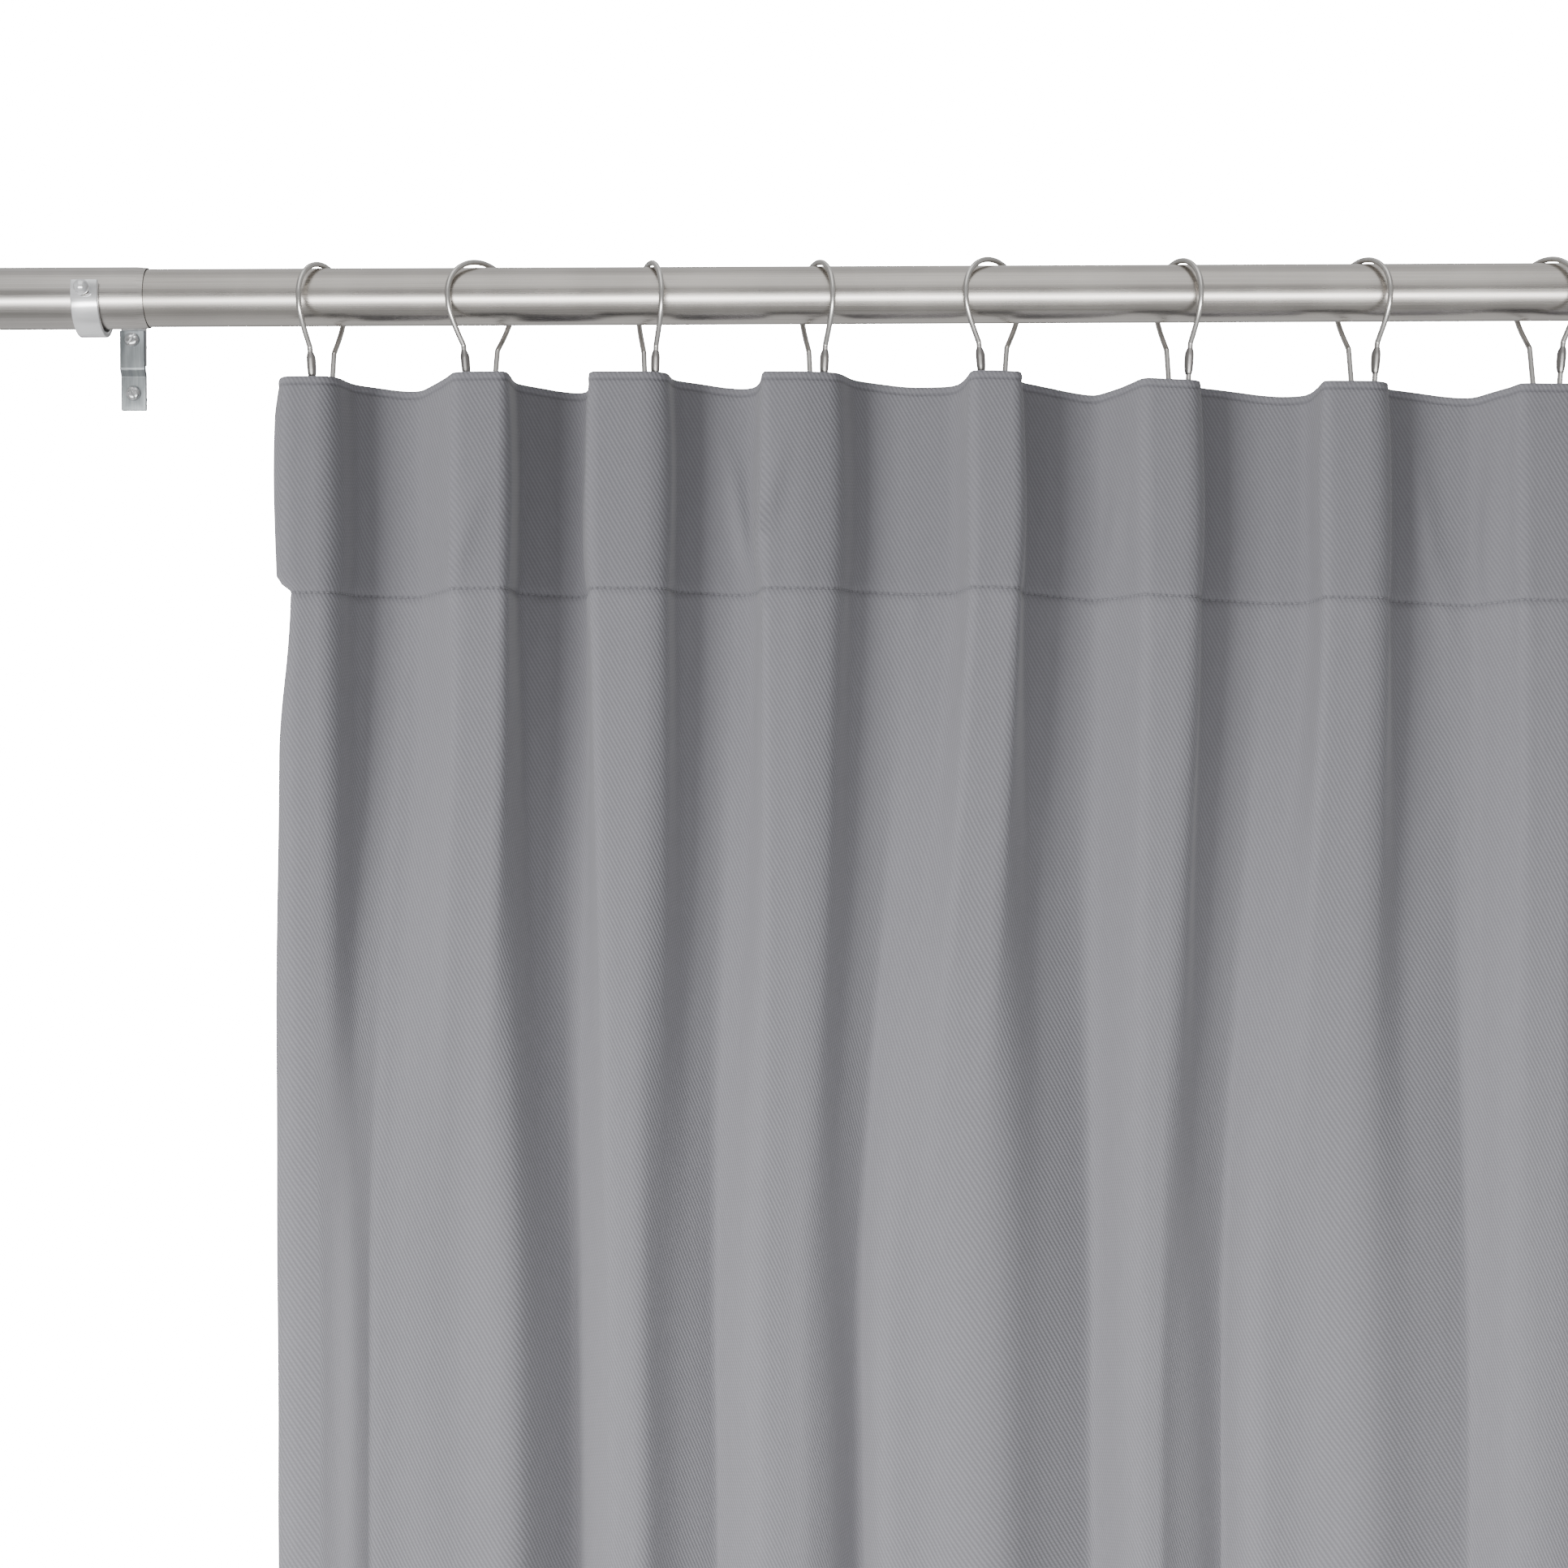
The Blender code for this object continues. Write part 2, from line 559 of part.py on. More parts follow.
def gate_mesh():
    """The ring's sprung leg, drawn from its turning point at the bottom bend."""
    foot = (0.0, TOUCH_GAP)
    tip = (FOOT_HALF_WIDTH - leg_half_width(GATE_TIP_DROP), LEG_END_DROP - GATE_TIP_DROP)
    path = np.linspace(foot, tip, 5)
    return wire_mesh("ring_gate", path, WIRE_RADIUS, WIRE_SIDES)


def heading_loop_mesh():
    """Strap sewn to the tape on both sides of the front leg and bowed back behind it."""
    half = HEADING_LOOP_THICKNESS / 2
    sewn = -(SEAT_DISTANCE - CLOTH_THICKNESS / 2 - TOUCH_GAP - TAPE_THICKNESS - TOUCH_GAP) + half
    inner = HEADING_LOOP_HALF_WIDTH - HEADING_LOOP_FOOT
    right = [(HEADING_LOOP_CROWN, 0.0), (inner, sewn), (HEADING_LOOP_HALF_WIDTH, sewn)]
    left = [(-x, y) for x, y in reversed(right)]
    low = -LEG_END_DROP - FOOT_HALF_WIDTH + WIRE_RADIUS + TOUCH_GAP
    high = low + HEADING_LOOP_HEIGHT
    return extrude_strip("heading_loop", left + right, -half, half, "XY", low, high)


def make_rings():
    ring, gate, loop = ring_mesh(), gate_mesh(), heading_loop_mesh()
    hinge = Vector((0, -FOOT_HALF_WIDTH, -LEG_END_DROP))
    for number, (x, yaw) in enumerate(zip(RING_X, RING_YAW), 1):
        turn = Matrix.Rotation(math.radians(yaw), 3, "Z")
        at = Vector((x, ROD_Y, ROD_Z + ring_lift(yaw)))
        rotation = (0, 0, math.radians(yaw))
        place(f"ring_{number}", ring, ring_wire_nickel, at, rotation)
        place(f"ring_gate_{number}", gate, ring_wire_nickel, at + turn @ hinge, rotation)
        place(f"heading_loop_{number}", loop, heading_cotton, at, rotation)


# ---------------------------------------------------------------- curtain


def bezier(start, start_pull, end_pull, end, steps):
    t = np.linspace(0, 1, steps + 1)[:, None]
    start, end = np.asarray(start), np.asarray(end)
    near, far = start + np.asarray(start_pull), end - np.asarray(end_pull)
    return start * (1 - t) ** 3 + 3 * near * t * (1 - t) ** 2 + 3 * far * t**2 * (1 - t) + end * t**3


def heading_seats():
    """For each ring, both ends of the heading's flat stretch and its direction, in x and y."""
    seats = []
    for x, yaw in zip(RING_X, RING_YAW):
        angle = math.radians(yaw)
        along = np.array([math.cos(angle), math.sin(angle)])
        front = np.array([math.sin(angle), -math.cos(angle)])
        middle = np.array([x, 0.0]) + front * SEAT_DISTANCE
        seats.append((middle - along * SEAT_HALF_WIDTH, middle + along * SEAT_HALF_WIDTH, along))
    return seats


def fold_line():
    """The panel's middle line seen from above, from its left edge to its right edge."""
    seats = heading_seats()
    out, back = EDGE_RETURN
    first, last = seats[0], seats[-1]
    level = np.array([1.0, 0.0])
    edge = first[0] + (out, back)
    line = [bezier(edge, (0, -back / 3), first[2] * back / 3, first[0], 3)]
    for (left, right), share, depth in zip(zip(seats, seats[1:]), VALLEY_SHARE, VALLEY_DEPTH):
        start, end = left[1], right[0]
        valley = np.array([start[0] + share * (end[0] - start[0]), depth * MM])
        near = np.linalg.norm(valley - start)
        far = np.linalg.norm(end - valley)
        line.append([start])
        level_near = level * near * VALLEY_PULL * share
        level_far = level * far * VALLEY_PULL * (1 - share)
        line.append(bezier(start, left[2] * near * SEAT_PULL, level_near, valley, 6)[1:])
        line.append(bezier(valley, level_far, right[2] * far * SEAT_PULL, end, 6)[1:])
    edge = last[1] + (-out, back)
    line.append(bezier(last[1], last[2] * back / 3, (0, back / 3), edge, 3))
    return np.vstack(line)


def trimmed(line, distance):
    """The line without its first and last stretch of this length."""
    reach = np.concatenate([[0], np.cumsum(np.linalg.norm(np.diff(line, axis=0), axis=1))])
    inside = (reach > distance) & (reach < reach[-1] - distance)
    ends = [[np.interp(s, reach, line[:, k]) for k in (0, 1)] for s in (distance, reach[-1] - distance)]
    return np.vstack([ends[:1], line[inside], ends[1:]])


def make_curtain():
    line = fold_line() - np.array([RING_X[0], 0.0])
    half = CLOTH_THICKNESS / 2
    top = -HEADING_DROP
    at = (RING_X[0], ROD_Y, ROD_Z)
    panel = extrude_strip("curtain_panel", line, -half, half, "XY", top - PANEL_LENGTH, top, 60)
    place("curtain_panel", panel, grey_twill, at)
    front = half + TOUCH_GAP
    low, high = top - HEADING_DEPTH, top - TAPE_INSET
    strip = trimmed(line, TAPE_INSET)
    back = front + TAPE_THICKNESS
    tape = extrude_strip("heading_tape", strip, front, back, "XY", low, high, 60)
    place("heading_tape", tape, heading_cotton, at)


def main():
    clear_scene()
    make_rod()
    make_brackets()
    make_rings()
    make_curtain()


main()
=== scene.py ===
"""Window curtain on a telescoping rod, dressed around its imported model.

Lengths are in metres in the model's own frame: +X along the rod, +Y into the wall, +Z up.
Sub-assemblies: the rod, its two brackets, nine wire rings and the pleated curtain.
"""

from __future__ import annotations

import json
import logging
import math
from dataclasses import dataclass, field
from enum import Enum
from typing import Any, Iterable, Sequence

import bpy
import numpy as np
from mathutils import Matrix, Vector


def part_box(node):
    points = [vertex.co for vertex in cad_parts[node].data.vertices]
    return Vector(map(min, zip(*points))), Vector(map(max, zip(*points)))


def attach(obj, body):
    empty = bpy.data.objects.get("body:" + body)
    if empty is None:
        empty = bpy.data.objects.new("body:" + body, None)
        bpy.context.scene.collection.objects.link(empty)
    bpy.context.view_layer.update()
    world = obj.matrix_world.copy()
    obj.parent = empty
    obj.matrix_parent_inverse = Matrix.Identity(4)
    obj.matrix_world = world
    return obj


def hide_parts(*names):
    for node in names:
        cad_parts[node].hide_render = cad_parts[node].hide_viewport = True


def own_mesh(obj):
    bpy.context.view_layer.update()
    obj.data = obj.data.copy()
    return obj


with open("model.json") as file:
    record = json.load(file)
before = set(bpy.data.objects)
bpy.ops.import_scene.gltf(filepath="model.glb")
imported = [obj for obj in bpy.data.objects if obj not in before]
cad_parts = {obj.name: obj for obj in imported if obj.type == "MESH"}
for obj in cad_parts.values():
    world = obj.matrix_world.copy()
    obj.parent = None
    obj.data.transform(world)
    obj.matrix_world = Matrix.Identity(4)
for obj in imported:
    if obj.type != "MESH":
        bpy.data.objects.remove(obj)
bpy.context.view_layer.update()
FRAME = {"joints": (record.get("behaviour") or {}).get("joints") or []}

MM = 0.001
Array = np.ndarray
Triple = tuple[float, float, float]
log = logging.getLogger("curtain")


# ------------------------------------------------------------------ shader sockets


class Socket:
    """One value in a shader graph, with arithmetic that adds Math nodes."""

    def __init__(self, graph: Graph, link: bpy.types.NodeSocket) -> None:
        """Keeps the graph and the output that carries the value."""
        self.graph = graph
        self.link = link

    def _math(self, operation: str, first: Any, second: Any) -> Socket:
        """Adds one Math node and returns its result."""
        return self.graph.node("ShaderNodeMath", {"operation": operation}, {0: first, 1: second})

    def __add__(self, other: Any) -> Socket:
        """Sum."""
        return self._math("ADD", self, other)

    def __mul__(self, other: Any) -> Socket:
        """Product."""
        return self._math("MULTIPLY", self, other)

    def __sub__(self, other: Any) -> Socket:
        """Difference."""
        return self._math("SUBTRACT", self, other)

    def __truediv__(self, other: Any) -> Socket:
        """Quotient."""
        return self._math("DIVIDE", self, other)

    def sine(self) -> Socket:
        """Sine of the value in radians."""
        return self._math("SINE", self, 0.0)

    def size(self) -> Socket:
        """Absolute value."""
        return self._math("ABSOLUTE", self, 0.0)

    def fraction(self) -> Socket:
        """What is left past the last whole number."""
        return self._math("FRACT", self, 0.0)

    def step(self, low: float, high: float, start: float = 0.0, end: float = 1.0) -> Socket:
        """Smooth step from `start` at `low` to `end` at `high`."""
        settings = {"interpolation_type": "SMOOTHSTEP"}
        values = {"Value": self, "From Min": low, "From Max": high, "To Min": start, "To Max": end}
        return self.graph.node("ShaderNodeMapRange", settings, values)


class Graph:
    """Builds the nodes of one material or world."""

    def __init__(self, tree: bpy.types.NodeTree) -> None:
        """Keeps the tree that the nodes go into."""
        self.tree = tree

    def node(self, kind: str, settings: dict[str, Any], values: dict[Any, Any], out: Any = 0) -> Socket:
        """Adds one node.

        Args:
            kind: Blender's node type.
            settings: properties set before anything is linked; "stops" fills a colour ramp.
            values: a number, colour or Socket for each input, by name or index.
            out: name or index of the output to return.

        Returns:
            The chosen output.
        """
        made = self.tree.nodes.new(kind)
        for key, value in settings.items():
            if key == "stops":
                self._fill_ramp(made.color_ramp, value)
            else:
                setattr(made, key, value)
        for key, value in values.items():
            self.feed(made.inputs[key], value)
        return Socket(self, made.outputs[out])

    @staticmethod
    def _fill_ramp(ramp: bpy.types.ColorRamp, stops: Sequence[tuple[float, tuple[float, ...]]]) -> None:
        """Sets a ramp's stops from (place, colour) pairs that run from 0 to 1."""
        ramp.elements[0].color = (*stops[0][1], 1.0)
        ramp.elements[1].color = (*stops[-1][1], 1.0)
        for place, colour in stops[1:-1]:
            ramp.elements.new(place).color = (*colour, 1.0)

    def feed(self, target: bpy.types.NodeSocket, value: Any) -> None:
        """Links a Socket to an input, or sets the input to a number or colour."""
        if isinstance(value, Socket):
            self.tree.links.new(value.link, target)
        elif isinstance(value, tuple) and len(value) == 3 and target.type == "RGBA":
            target.default_value = (*value, 1.0)
        else:
            target.default_value = value

    def split(self, vector: Socket) -> tuple[Socket, Socket, Socket]:
        """The three numbers of a vector."""
        made = self.tree.nodes.new("ShaderNodeSeparateXYZ")
        self.feed(made.inputs[0], vector)
        return tuple(Socket(self, output) for output in made.outputs)

    def noise(self, vector: Socket, scale: float, detail: float = 2.0, rough: float = 0.5) -> Socket:
        """Noise from 0 to 1 over a vector."""
        values = {"Vector": vector, "Scale": scale, "Detail": detail, "Roughness": rough}
        return self.node("ShaderNodeTexNoise", {}, values, "Fac")

    def stretched(self, vector: Socket, scale: Triple) -> Socket:
        """The vector with each of its numbers multiplied."""
        return self.node("ShaderNodeVectorMath", {"operation": "MULTIPLY"}, {0: vector, 1: scale})

    def mixed(self, share: Any, first: Any, second: Any) -> Socket:
        """Colour that goes from the first to the second as share goes from 0 to 1."""
        made = self.tree.nodes.new("ShaderNodeMix")
        made.data_type = "RGBA"
        for index, value in ((0, share), (6, first), (7, second)):
            self.feed(made.inputs[index], value)
        return Socket(self, made.outputs[2])


class Place(Enum):
    """Where a material reads its pattern from."""

    OBJECT = "Object"
    UV = "UV"


class Dressing(Graph):
    """A material being built: one Principled shader and the nodes that feed it."""

    def __init__(self, name: str, **constants: Any) -> None:
        """Makes the material and sets what is the same all over the surface."""
        self.material = bpy.data.materials.new(name)
        self.material.use_nodes = True
        super().__init__(self.material.node_tree)
        self.shader = self.tree.nodes["Principled BSDF"]
        for key, value in constants.items():
            self.feed(self.shader.inputs[key.replace("_", " ")], value)

    def place(self, kind: Place) -> Socket:
        """The surface's own coordinates, in metres."""
        return self.node("ShaderNodeTexCoord", {}, {}, kind.value)

    def vary(self, **sockets: Socket) -> None:
        """Feeds what changes over the surface."""
        for key, value in sockets.items():
            self.feed(self.shader.inputs[key.replace("_", " ")], value)

    def bump(self, height: Socket, distance: float, strength: float = 1.0) -> None:
        """Feeds a height in shares of `distance` to the normal."""
        values = {"Height": height, "Distance": distance, "Strength": strength}
        self.vary(Normal=self.node("ShaderNodeBump", {}, values))


# ------------------------------------------------------------------ finishes


@dataclass(frozen=True)
class Metal:
    """Bare metal with fine marks drawn out along one direction."""

    name: str
    slot: str
    colour: Triple
    shade: Triple
    roughness: float
    spread: float
    grain: Triple
    depth: float = 0.004 * MM
    metallic: float = 1.0

    def make(self) -> bpy.types.Material:
        """Streaks are noise squeezed across the grain; a broad noise adds handling marks.

        Returns:
            The material.
        """
        made = Dressing(self.name, Metallic=self.metallic)
        where = made.place(Place.OBJECT)
        streaks = made.noise(made.stretched(where, self.grain), 1.0, 3.0, 0.6)
        broad = made.noise(where, 38.0, 2.0)
        tone = (streaks * 0.65 + broad * 0.35).step(0.3, 0.72)
        made.vary(Base_Color=made.mixed(tone, self.shade, self.colour))
        made.vary(Roughness=streaks * self.spread + broad * self.spread + (self.roughness - self.spread))
        made.bump(streaks, self.depth)
        return made.material


ROD_NICKEL = Metal(
    "brushed_rod_nickel",
    "rod_nickel",
    colour=(0.62, 0.59, 0.555),
    shade=(0.47, 0.445, 0.42),
    roughness=0.27,
    spread=0.10,
    grain=(7.0, 1500.0, 1500.0),
)
SLEEVE_NICKEL = Metal(
    "brushed_sleeve_nickel",
    "rod_nickel",
    colour=(0.60, 0.575, 0.55),
    shade=(0.46, 0.44, 0.42),
    roughness=0.24,
    spread=0.10,
    grain=(9.0, 1500.0, 1500.0),
)
RING_NICKEL = Metal(
    "spring_wire_nickel",
    "ring_nickel",
    colour=(0.88, 0.86, 0.83),
    shade=(0.70, 0.68, 0.65),
    roughness=0.20,
    spread=0.06,
    grain=(500.0, 500.0, 120.0),
)
# painted shade: the clasp is the rings' nickel in a darker colour, for the shade on its folded leaf
SHADED_CLASP_NICKEL = Metal(
    "folded_clasp_nickel",
    "ring_nickel",
    colour=(0.52, 0.50, 0.48),
    shade=(0.34, 0.33, 0.32),
    roughness=0.32,
    spread=0.10,
    grain=(700.0, 700.0, 90.0),
)
CHROME = Metal(
    "polished_bracket_chrome",
    "bracket_chrome",
    colour=(0.95, 0.955, 0.965),
    shade=(0.86, 0.87, 0.89),
    roughness=0.10,
    spread=0.04,
    grain=(60.0, 400.0, 400.0),
    depth=0.001 * MM,
    metallic=0.72,
)
ZINC = Metal(
    "zinc_plate_steel",
    "plate_steel",
    colour=(0.36, 0.385, 0.395),
    shade=(0.23, 0.25, 0.26),
    roughness=0.46,
    spread=0.12,
    grain=(900.0, 60.0, 60.0),
    depth=0.008 * MM,
)
SCREW_ZINC = Metal(
    "zinc_screw_steel",
    "plate_steel",
    colour=(0.76, 0.77, 0.78),
    shade=(0.52, 0.53, 0.54),
    roughness=0.22,
    spread=0.10,
    grain=(300.0, 300.0, 300.0),
    depth=0.006 * MM,
    metallic=0.85,
)


@dataclass(frozen=True)
class Seam:
    """One machine-stitched line across the cloth."""

    drop: float
    stitch: float


@dataclass(frozen=True)
class Twill:
    """Coarse cotton twill: steep ridges that fall to the right, cut into short floats by the picks."""

    name: str = "coarse_grey_twill"
    ridge_pitch: float = 1.78 * MM
    ridge_deg: float = 60.0
    pick_pitch: float = 1.5 * MM
    ground: Triple = (0.180, 0.178, 0.193)
    light: Triple = (0.246, 0.243, 0.262)
    # groove: the colour that the painted shade at seams, needle holes, heading and upper cloth darkens toward
    groove: Triple = (0.095, 0.095, 0.105)
    relief: float = 0.20 * MM
    # painted shade: how far the heading and the upper cloth are darkened
    doubled_shade: float = 0.12
    top_shade: float = 0.30
    seams: tuple[Seam, ...] = ()

    def make(self) -> bpy.types.Material:
        """Ridge = half a sine of the distance across the ridges over their pitch.

        Float is the same down the cloth. The height is the ridge times the float, with a little
        noise for the yarn. Seams press the cloth in, and painted shade darkens the pressed line and
        a needle hole between two stitches. Painted shade darkens the colour by `top_shade` at 50 mm
        down, fading out by 500 mm, and the doubled heading by `doubled_shade` more, for the daylight
        that comes through it less.

        Returns:
            The material.
        """
        made = Dressing(self.name, Sheen_Weight=0.22, Sheen_Roughness=0.45, Specular_IOR_Level=0.18)
        where = made.place(Place.UV)
        across, down, _ = made.split(where)
        wander = (made.noise(where, 55.0, 2.0) - 0.5) * (0.8 * MM)
        turn = math.radians(self.ridge_deg)
        ridge_place = across * math.sin(turn) - down * math.cos(turn) + wander
        ridge = (ridge_place * (2 * math.pi / self.ridge_pitch)).sine() * 0.5 + 0.5
        pick_place = down + across * 0.12 + wander * 0.6
        pick = (pick_place * (2 * math.pi / self.pick_pitch)).sine() * 0.5 + 0.5
        yarn = made.noise(where, 1900.0, 2.0)
        slub = made.noise(made.stretched(where, (260.0, 60.0, 1.0)), 1.0, 2.0)
        height = ridge * (pick * 0.36 + 0.64) * 0.8 + yarn * 0.25
        lit = (height + slub * 0.22).step(0.16, 0.98)
        colour = made.mixed(lit, self.ground, self.light)
        cloudy = made.noise(where, 9.0, 3.0)
        colour = made.mixed((cloudy * 0.30).step(0.0, 0.3, 0.0, 0.16), colour, self.light)
        # painted shade: the heading down to the seam, and the cloth from 50 mm fading out by 500 mm, darkened
        # toward the groove colour
        doubled = down.step(0.0985, 0.0995, self.doubled_shade, 0.0)
        thick = doubled + down.step(0.05, 0.50, self.top_shade, 0.0)
        colour = made.mixed(thick, colour, self.groove)
        press = None
        # painted shade: each pressed seam line is darkened toward the groove colour, and a needle hole
        # between two stitches more
        for seam in self.seams:
            line = (down - seam.drop).size().step(0.25 * MM, 0.95 * MM, 1.0, 0.0)
            if seam.stitch:
                hole = ((across / seam.stitch).fraction() - 0.5).size().step(0.32, 0.42)
                dark = line * (hole * 0.55 + 0.12)
            else:
                dark = line * 0.42
            colour = made.mixed(dark, colour, self.groove)
            press = line if press is None else press + line
        made.vary(Base_Color=colour, Roughness=yarn * 0.1 + 0.86)
        relief = height if press is None else height - press * 0.8
        made.bump(relief, self.relief, 0.9)
        return made.material


@dataclass(frozen=True)
class Weave:
    """Plain woven cotton, used for tape, loops and thread."""

    name: str
    ground: Triple
    light: Triple
    pitch: float = 0.7 * MM

    def make(self) -> bpy.types.Material:
        """Height = product of two sine waves square to each other, one yarn apart, plus noise.

        Returns:
            The material.
        """
        made = Dressing(self.name, Sheen_Weight=0.15, Specular_IOR_Level=0.2)
        across, deep, down = made.split(made.place(Place.OBJECT))
        wave = 2 * math.pi / self.pitch
        warp = ((across + deep) * wave).sine()
        weft = (down * wave).sine()
        fuzz = made.noise(made.place(Place.OBJECT), 1500.0, 2.0)
        height = warp * weft * 0.35 + 0.5 + fuzz * 0.2
        made.vary(Base_Color=made.mixed(height.step(0.2, 0.95), self.ground, self.light))
        made.vary(Roughness=fuzz * 0.1 + 0.85)
        made.bump(height, 0.16 * MM)
        return made.material


# ------------------------------------------------------------------ shells


@dataclass
class Shell:
    """Points with four-sided and three-sided faces that close around a volume."""

    points: Array
    quads: Array
    tris: Array = field(default_factory=lambda: np.zeros((0, 3), int))
    uv: Array | None = None

    def volume(self) -> float:
        """Signed volume: a sixth of the sum of each triangle's box product."""
        faces = np.vstack([self.quads[:, [0, 1, 2]], self.quads[:, [0, 2, 3]], self.tris])
        corner = self.points[faces] - self.points.mean(axis=0)
        return float(np.einsum("ij,ij->i", corner[:, 0], np.cross(corner[:, 1], corner[:, 2])).sum() / 6)

    def outward(self) -> Shell:
        """The same shell with its faces turned out."""
        if self.volume() >= 0:
            return self
        return Shell(self.points, self.quads[:, ::-1], self.tris[:, ::-1], self.uv)

    def moved(self, turn: Array, shift: Sequence[float]) -> Shell:
        """The shell turned by a 3x3 matrix and then shifted."""
        return Shell(self.points @ np.asarray(turn).T + np.asarray(shift), self.quads, self.tris, self.uv)


def spin_z(angle: float) -> Array:
    """Matrix of a turn about Z."""
    c, s = math.cos(angle), math.sin(angle)
    return np.array([[c, -s, 0.0], [s, c, 0.0], [0.0, 0.0, 1.0]])


def spin_x(angle: float) -> Array:
    """Matrix of a turn about X."""
    c, s = math.cos(angle), math.sin(angle)
    return np.array([[1.0, 0.0, 0.0], [0.0, c, -s], [0.0, s, c]])


def grid_quads(rows: int, columns: int, wrap_rows: bool = False, wrap_columns: bool = False) -> Array:
    """Faces of a grid of points numbered row by row."""
    row = np.arange(rows if wrap_rows else rows - 1)
    column = np.arange(columns if wrap_columns else columns - 1)
    r, c = (a.ravel() for a in np.meshgrid(row, column, indexing="ij"))
    after_r, after_c = (r + 1) % rows, (c + 1) % columns
    return np.column_stack([r, after_r, after_r, r]) * columns + np.column_stack([c, c, after_c, after_c])


def closed_grid(grid: Array, first: Array | None, last: Array | None) -> Shell:
    """Shell of a grid whose rows are rings, closed at each end by a pole, or wrapped where both are None."""
    rows, columns, _ = grid.shape
    points = grid.reshape(-1, 3)
    if first is None or last is None:
        return Shell(points, grid_quads(rows, columns, True, True)).outward()
    here = np.arange(columns)
    there = (here + 1) % columns
    start, end = rows * columns, rows * columns + 1
    low = np.column_stack([np.full(columns, start), here, there])
    base = (rows - 1) * columns
    high = np.column_stack([np.full(columns, end), base + there, base + here])
    points = np.vstack([points, first[None], last[None]])
    return Shell(points, grid_quads(rows, columns, False, True), np.vstack([low, high])).outward()


def revolve(profile: Sequence[tuple[float, float]], sides: int, hollow: bool = False) -> Shell:
    """Turns (x, radius) points round the X axis.

    A solid profile starts and ends on the axis, where its two poles lie. A hollow one is a loop.
    """
    line = np.asarray(profile, float)
    rings = line if hollow else line[1:-1]
    angle = 2 * np.pi * np.arange(sides) / sides
    x = np.broadcast_to(rings[:, :1], (len(rings), sides))
    grid = np.stack([x, rings[:, 1:] * np.cos(angle), rings[:, 1:] * np.sin(angle)], axis=2)
    if hollow:
        return closed_grid(grid, None, None)
    return closed_grid(grid, np.array([line[0, 0], 0, 0]), np.array([line[-1, 0], 0, 0]))


def arc(centre: tuple[float, float], radius: float, start: float, end: float, steps: int) -> Array:
    """Points of a circle's arc, from and to angles in degrees."""
    angle = np.radians(np.linspace(start, end, steps + 1))
    return np.column_stack([centre[0] + radius * np.cos(angle), centre[1] + radius * np.sin(angle)])


def rounded(points: Sequence[tuple[float, float]], radii: Sequence[float], steps: int = 6) -> Array:
    """A line through 2-D points with each inner corner replaced by an arc of its radius.

    The arc touches both runs at radius / tan(half the corner's angle) from the corner.
    """
    line = [np.asarray(points[0], float)[None]]
    for before, corner, after, radius in zip(points, points[1:], points[2:], radii):
        before, corner, after = (np.asarray(p, float) for p in (before, corner, after))
        back = (before - corner) / np.linalg.norm(before - corner)
        ahead = (after - corner) / np.linalg.norm(after - corner)
        half = math.acos(float(np.clip(back @ ahead, -1, 1))) / 2
        middle = (back + ahead) / np.linalg.norm(back + ahead)
        centre = corner + middle * radius / math.sin(half)
        reach = radius / math.tan(half)
        first, last = corner + back * reach - centre, corner + ahead * reach - centre
        swing = np.linspace(first, last, steps + 1)
        line.append(centre + radius * swing / np.linalg.norm(swing, axis=1)[:, None])
    line.append(np.asarray(points[-1], float)[None])
    return np.vstack(line)


def tangents(path: Array) -> Array:
    """Unit direction at each point of a path, from its neighbours."""
    run = np.gradient(path, axis=0)
    step = np.diff(path, axis=0)
    run[0], run[-1] = step[0], step[-1]
    return run / np.linalg.norm(run, axis=1)[:, None]


def sweep(path: Array, section: Array, across: Array, scale: Array) -> Shell:
    """Carries a closed 2-D section along a 3-D path and closes both ends.

    Args:
        path: the points followed.
        section: (a, b) points; a runs along `across` and b along the normal of path and across.
        across: a direction square to the path.
        scale: size of the section at each point of the path.

    Returns:
        The closed shell.
    """
    along = tangents(path)
    normal = np.cross(along, across)
    normal /= np.linalg.norm(normal, axis=1)[:, None]
    flat = section[None, :, 0, None] * np.asarray(across) + section[None, :, 1, None] * normal[:, None]
    grid = path[:, None] + flat * scale[:, None, None]
    return closed_grid(grid, path[0], path[-1])


def round_wire(path: Array, radius: float, across: Array, sides: int = 14) -> Shell:
    """Round wire with half-ball ends: there the radius falls as a quarter circle does."""
    turn = np.radians([75.0, 50.0, 25.0])
    along = tangents(path)
    start = path[0] - along[0] * radius * np.sin(turn)[:, None]
    end = path[-1] + along[-1] * radius * np.sin(turn[::-1])[:, None]
    ends = np.cos(turn)
    scale = np.concatenate([[0.02], ends, np.ones(len(path)), ends[::-1], [0.02]])
    first, last = path[:1] - along[:1] * radius, path[-1:] + along[-1:] * radius
    whole = np.vstack([first, start, path, end, last])
    circle = arc((0, 0), radius, 0, 360, sides)[:-1]
    return sweep(whole, circle, across, scale)


def rounded_rectangle(width: float, height: float, radius: float, steps: int = 3) -> Array:
    """Outline of a rectangle about its middle, with round corners."""
    a, b = width / 2 - radius, height / 2 - radius
    corners = (((a, b), 0), ((-a, b), 90), ((-a, -b), 180), ((a, -b), 270))
    return np.vstack([arc(c, radius, start, start + 90, steps) for c, start in corners])


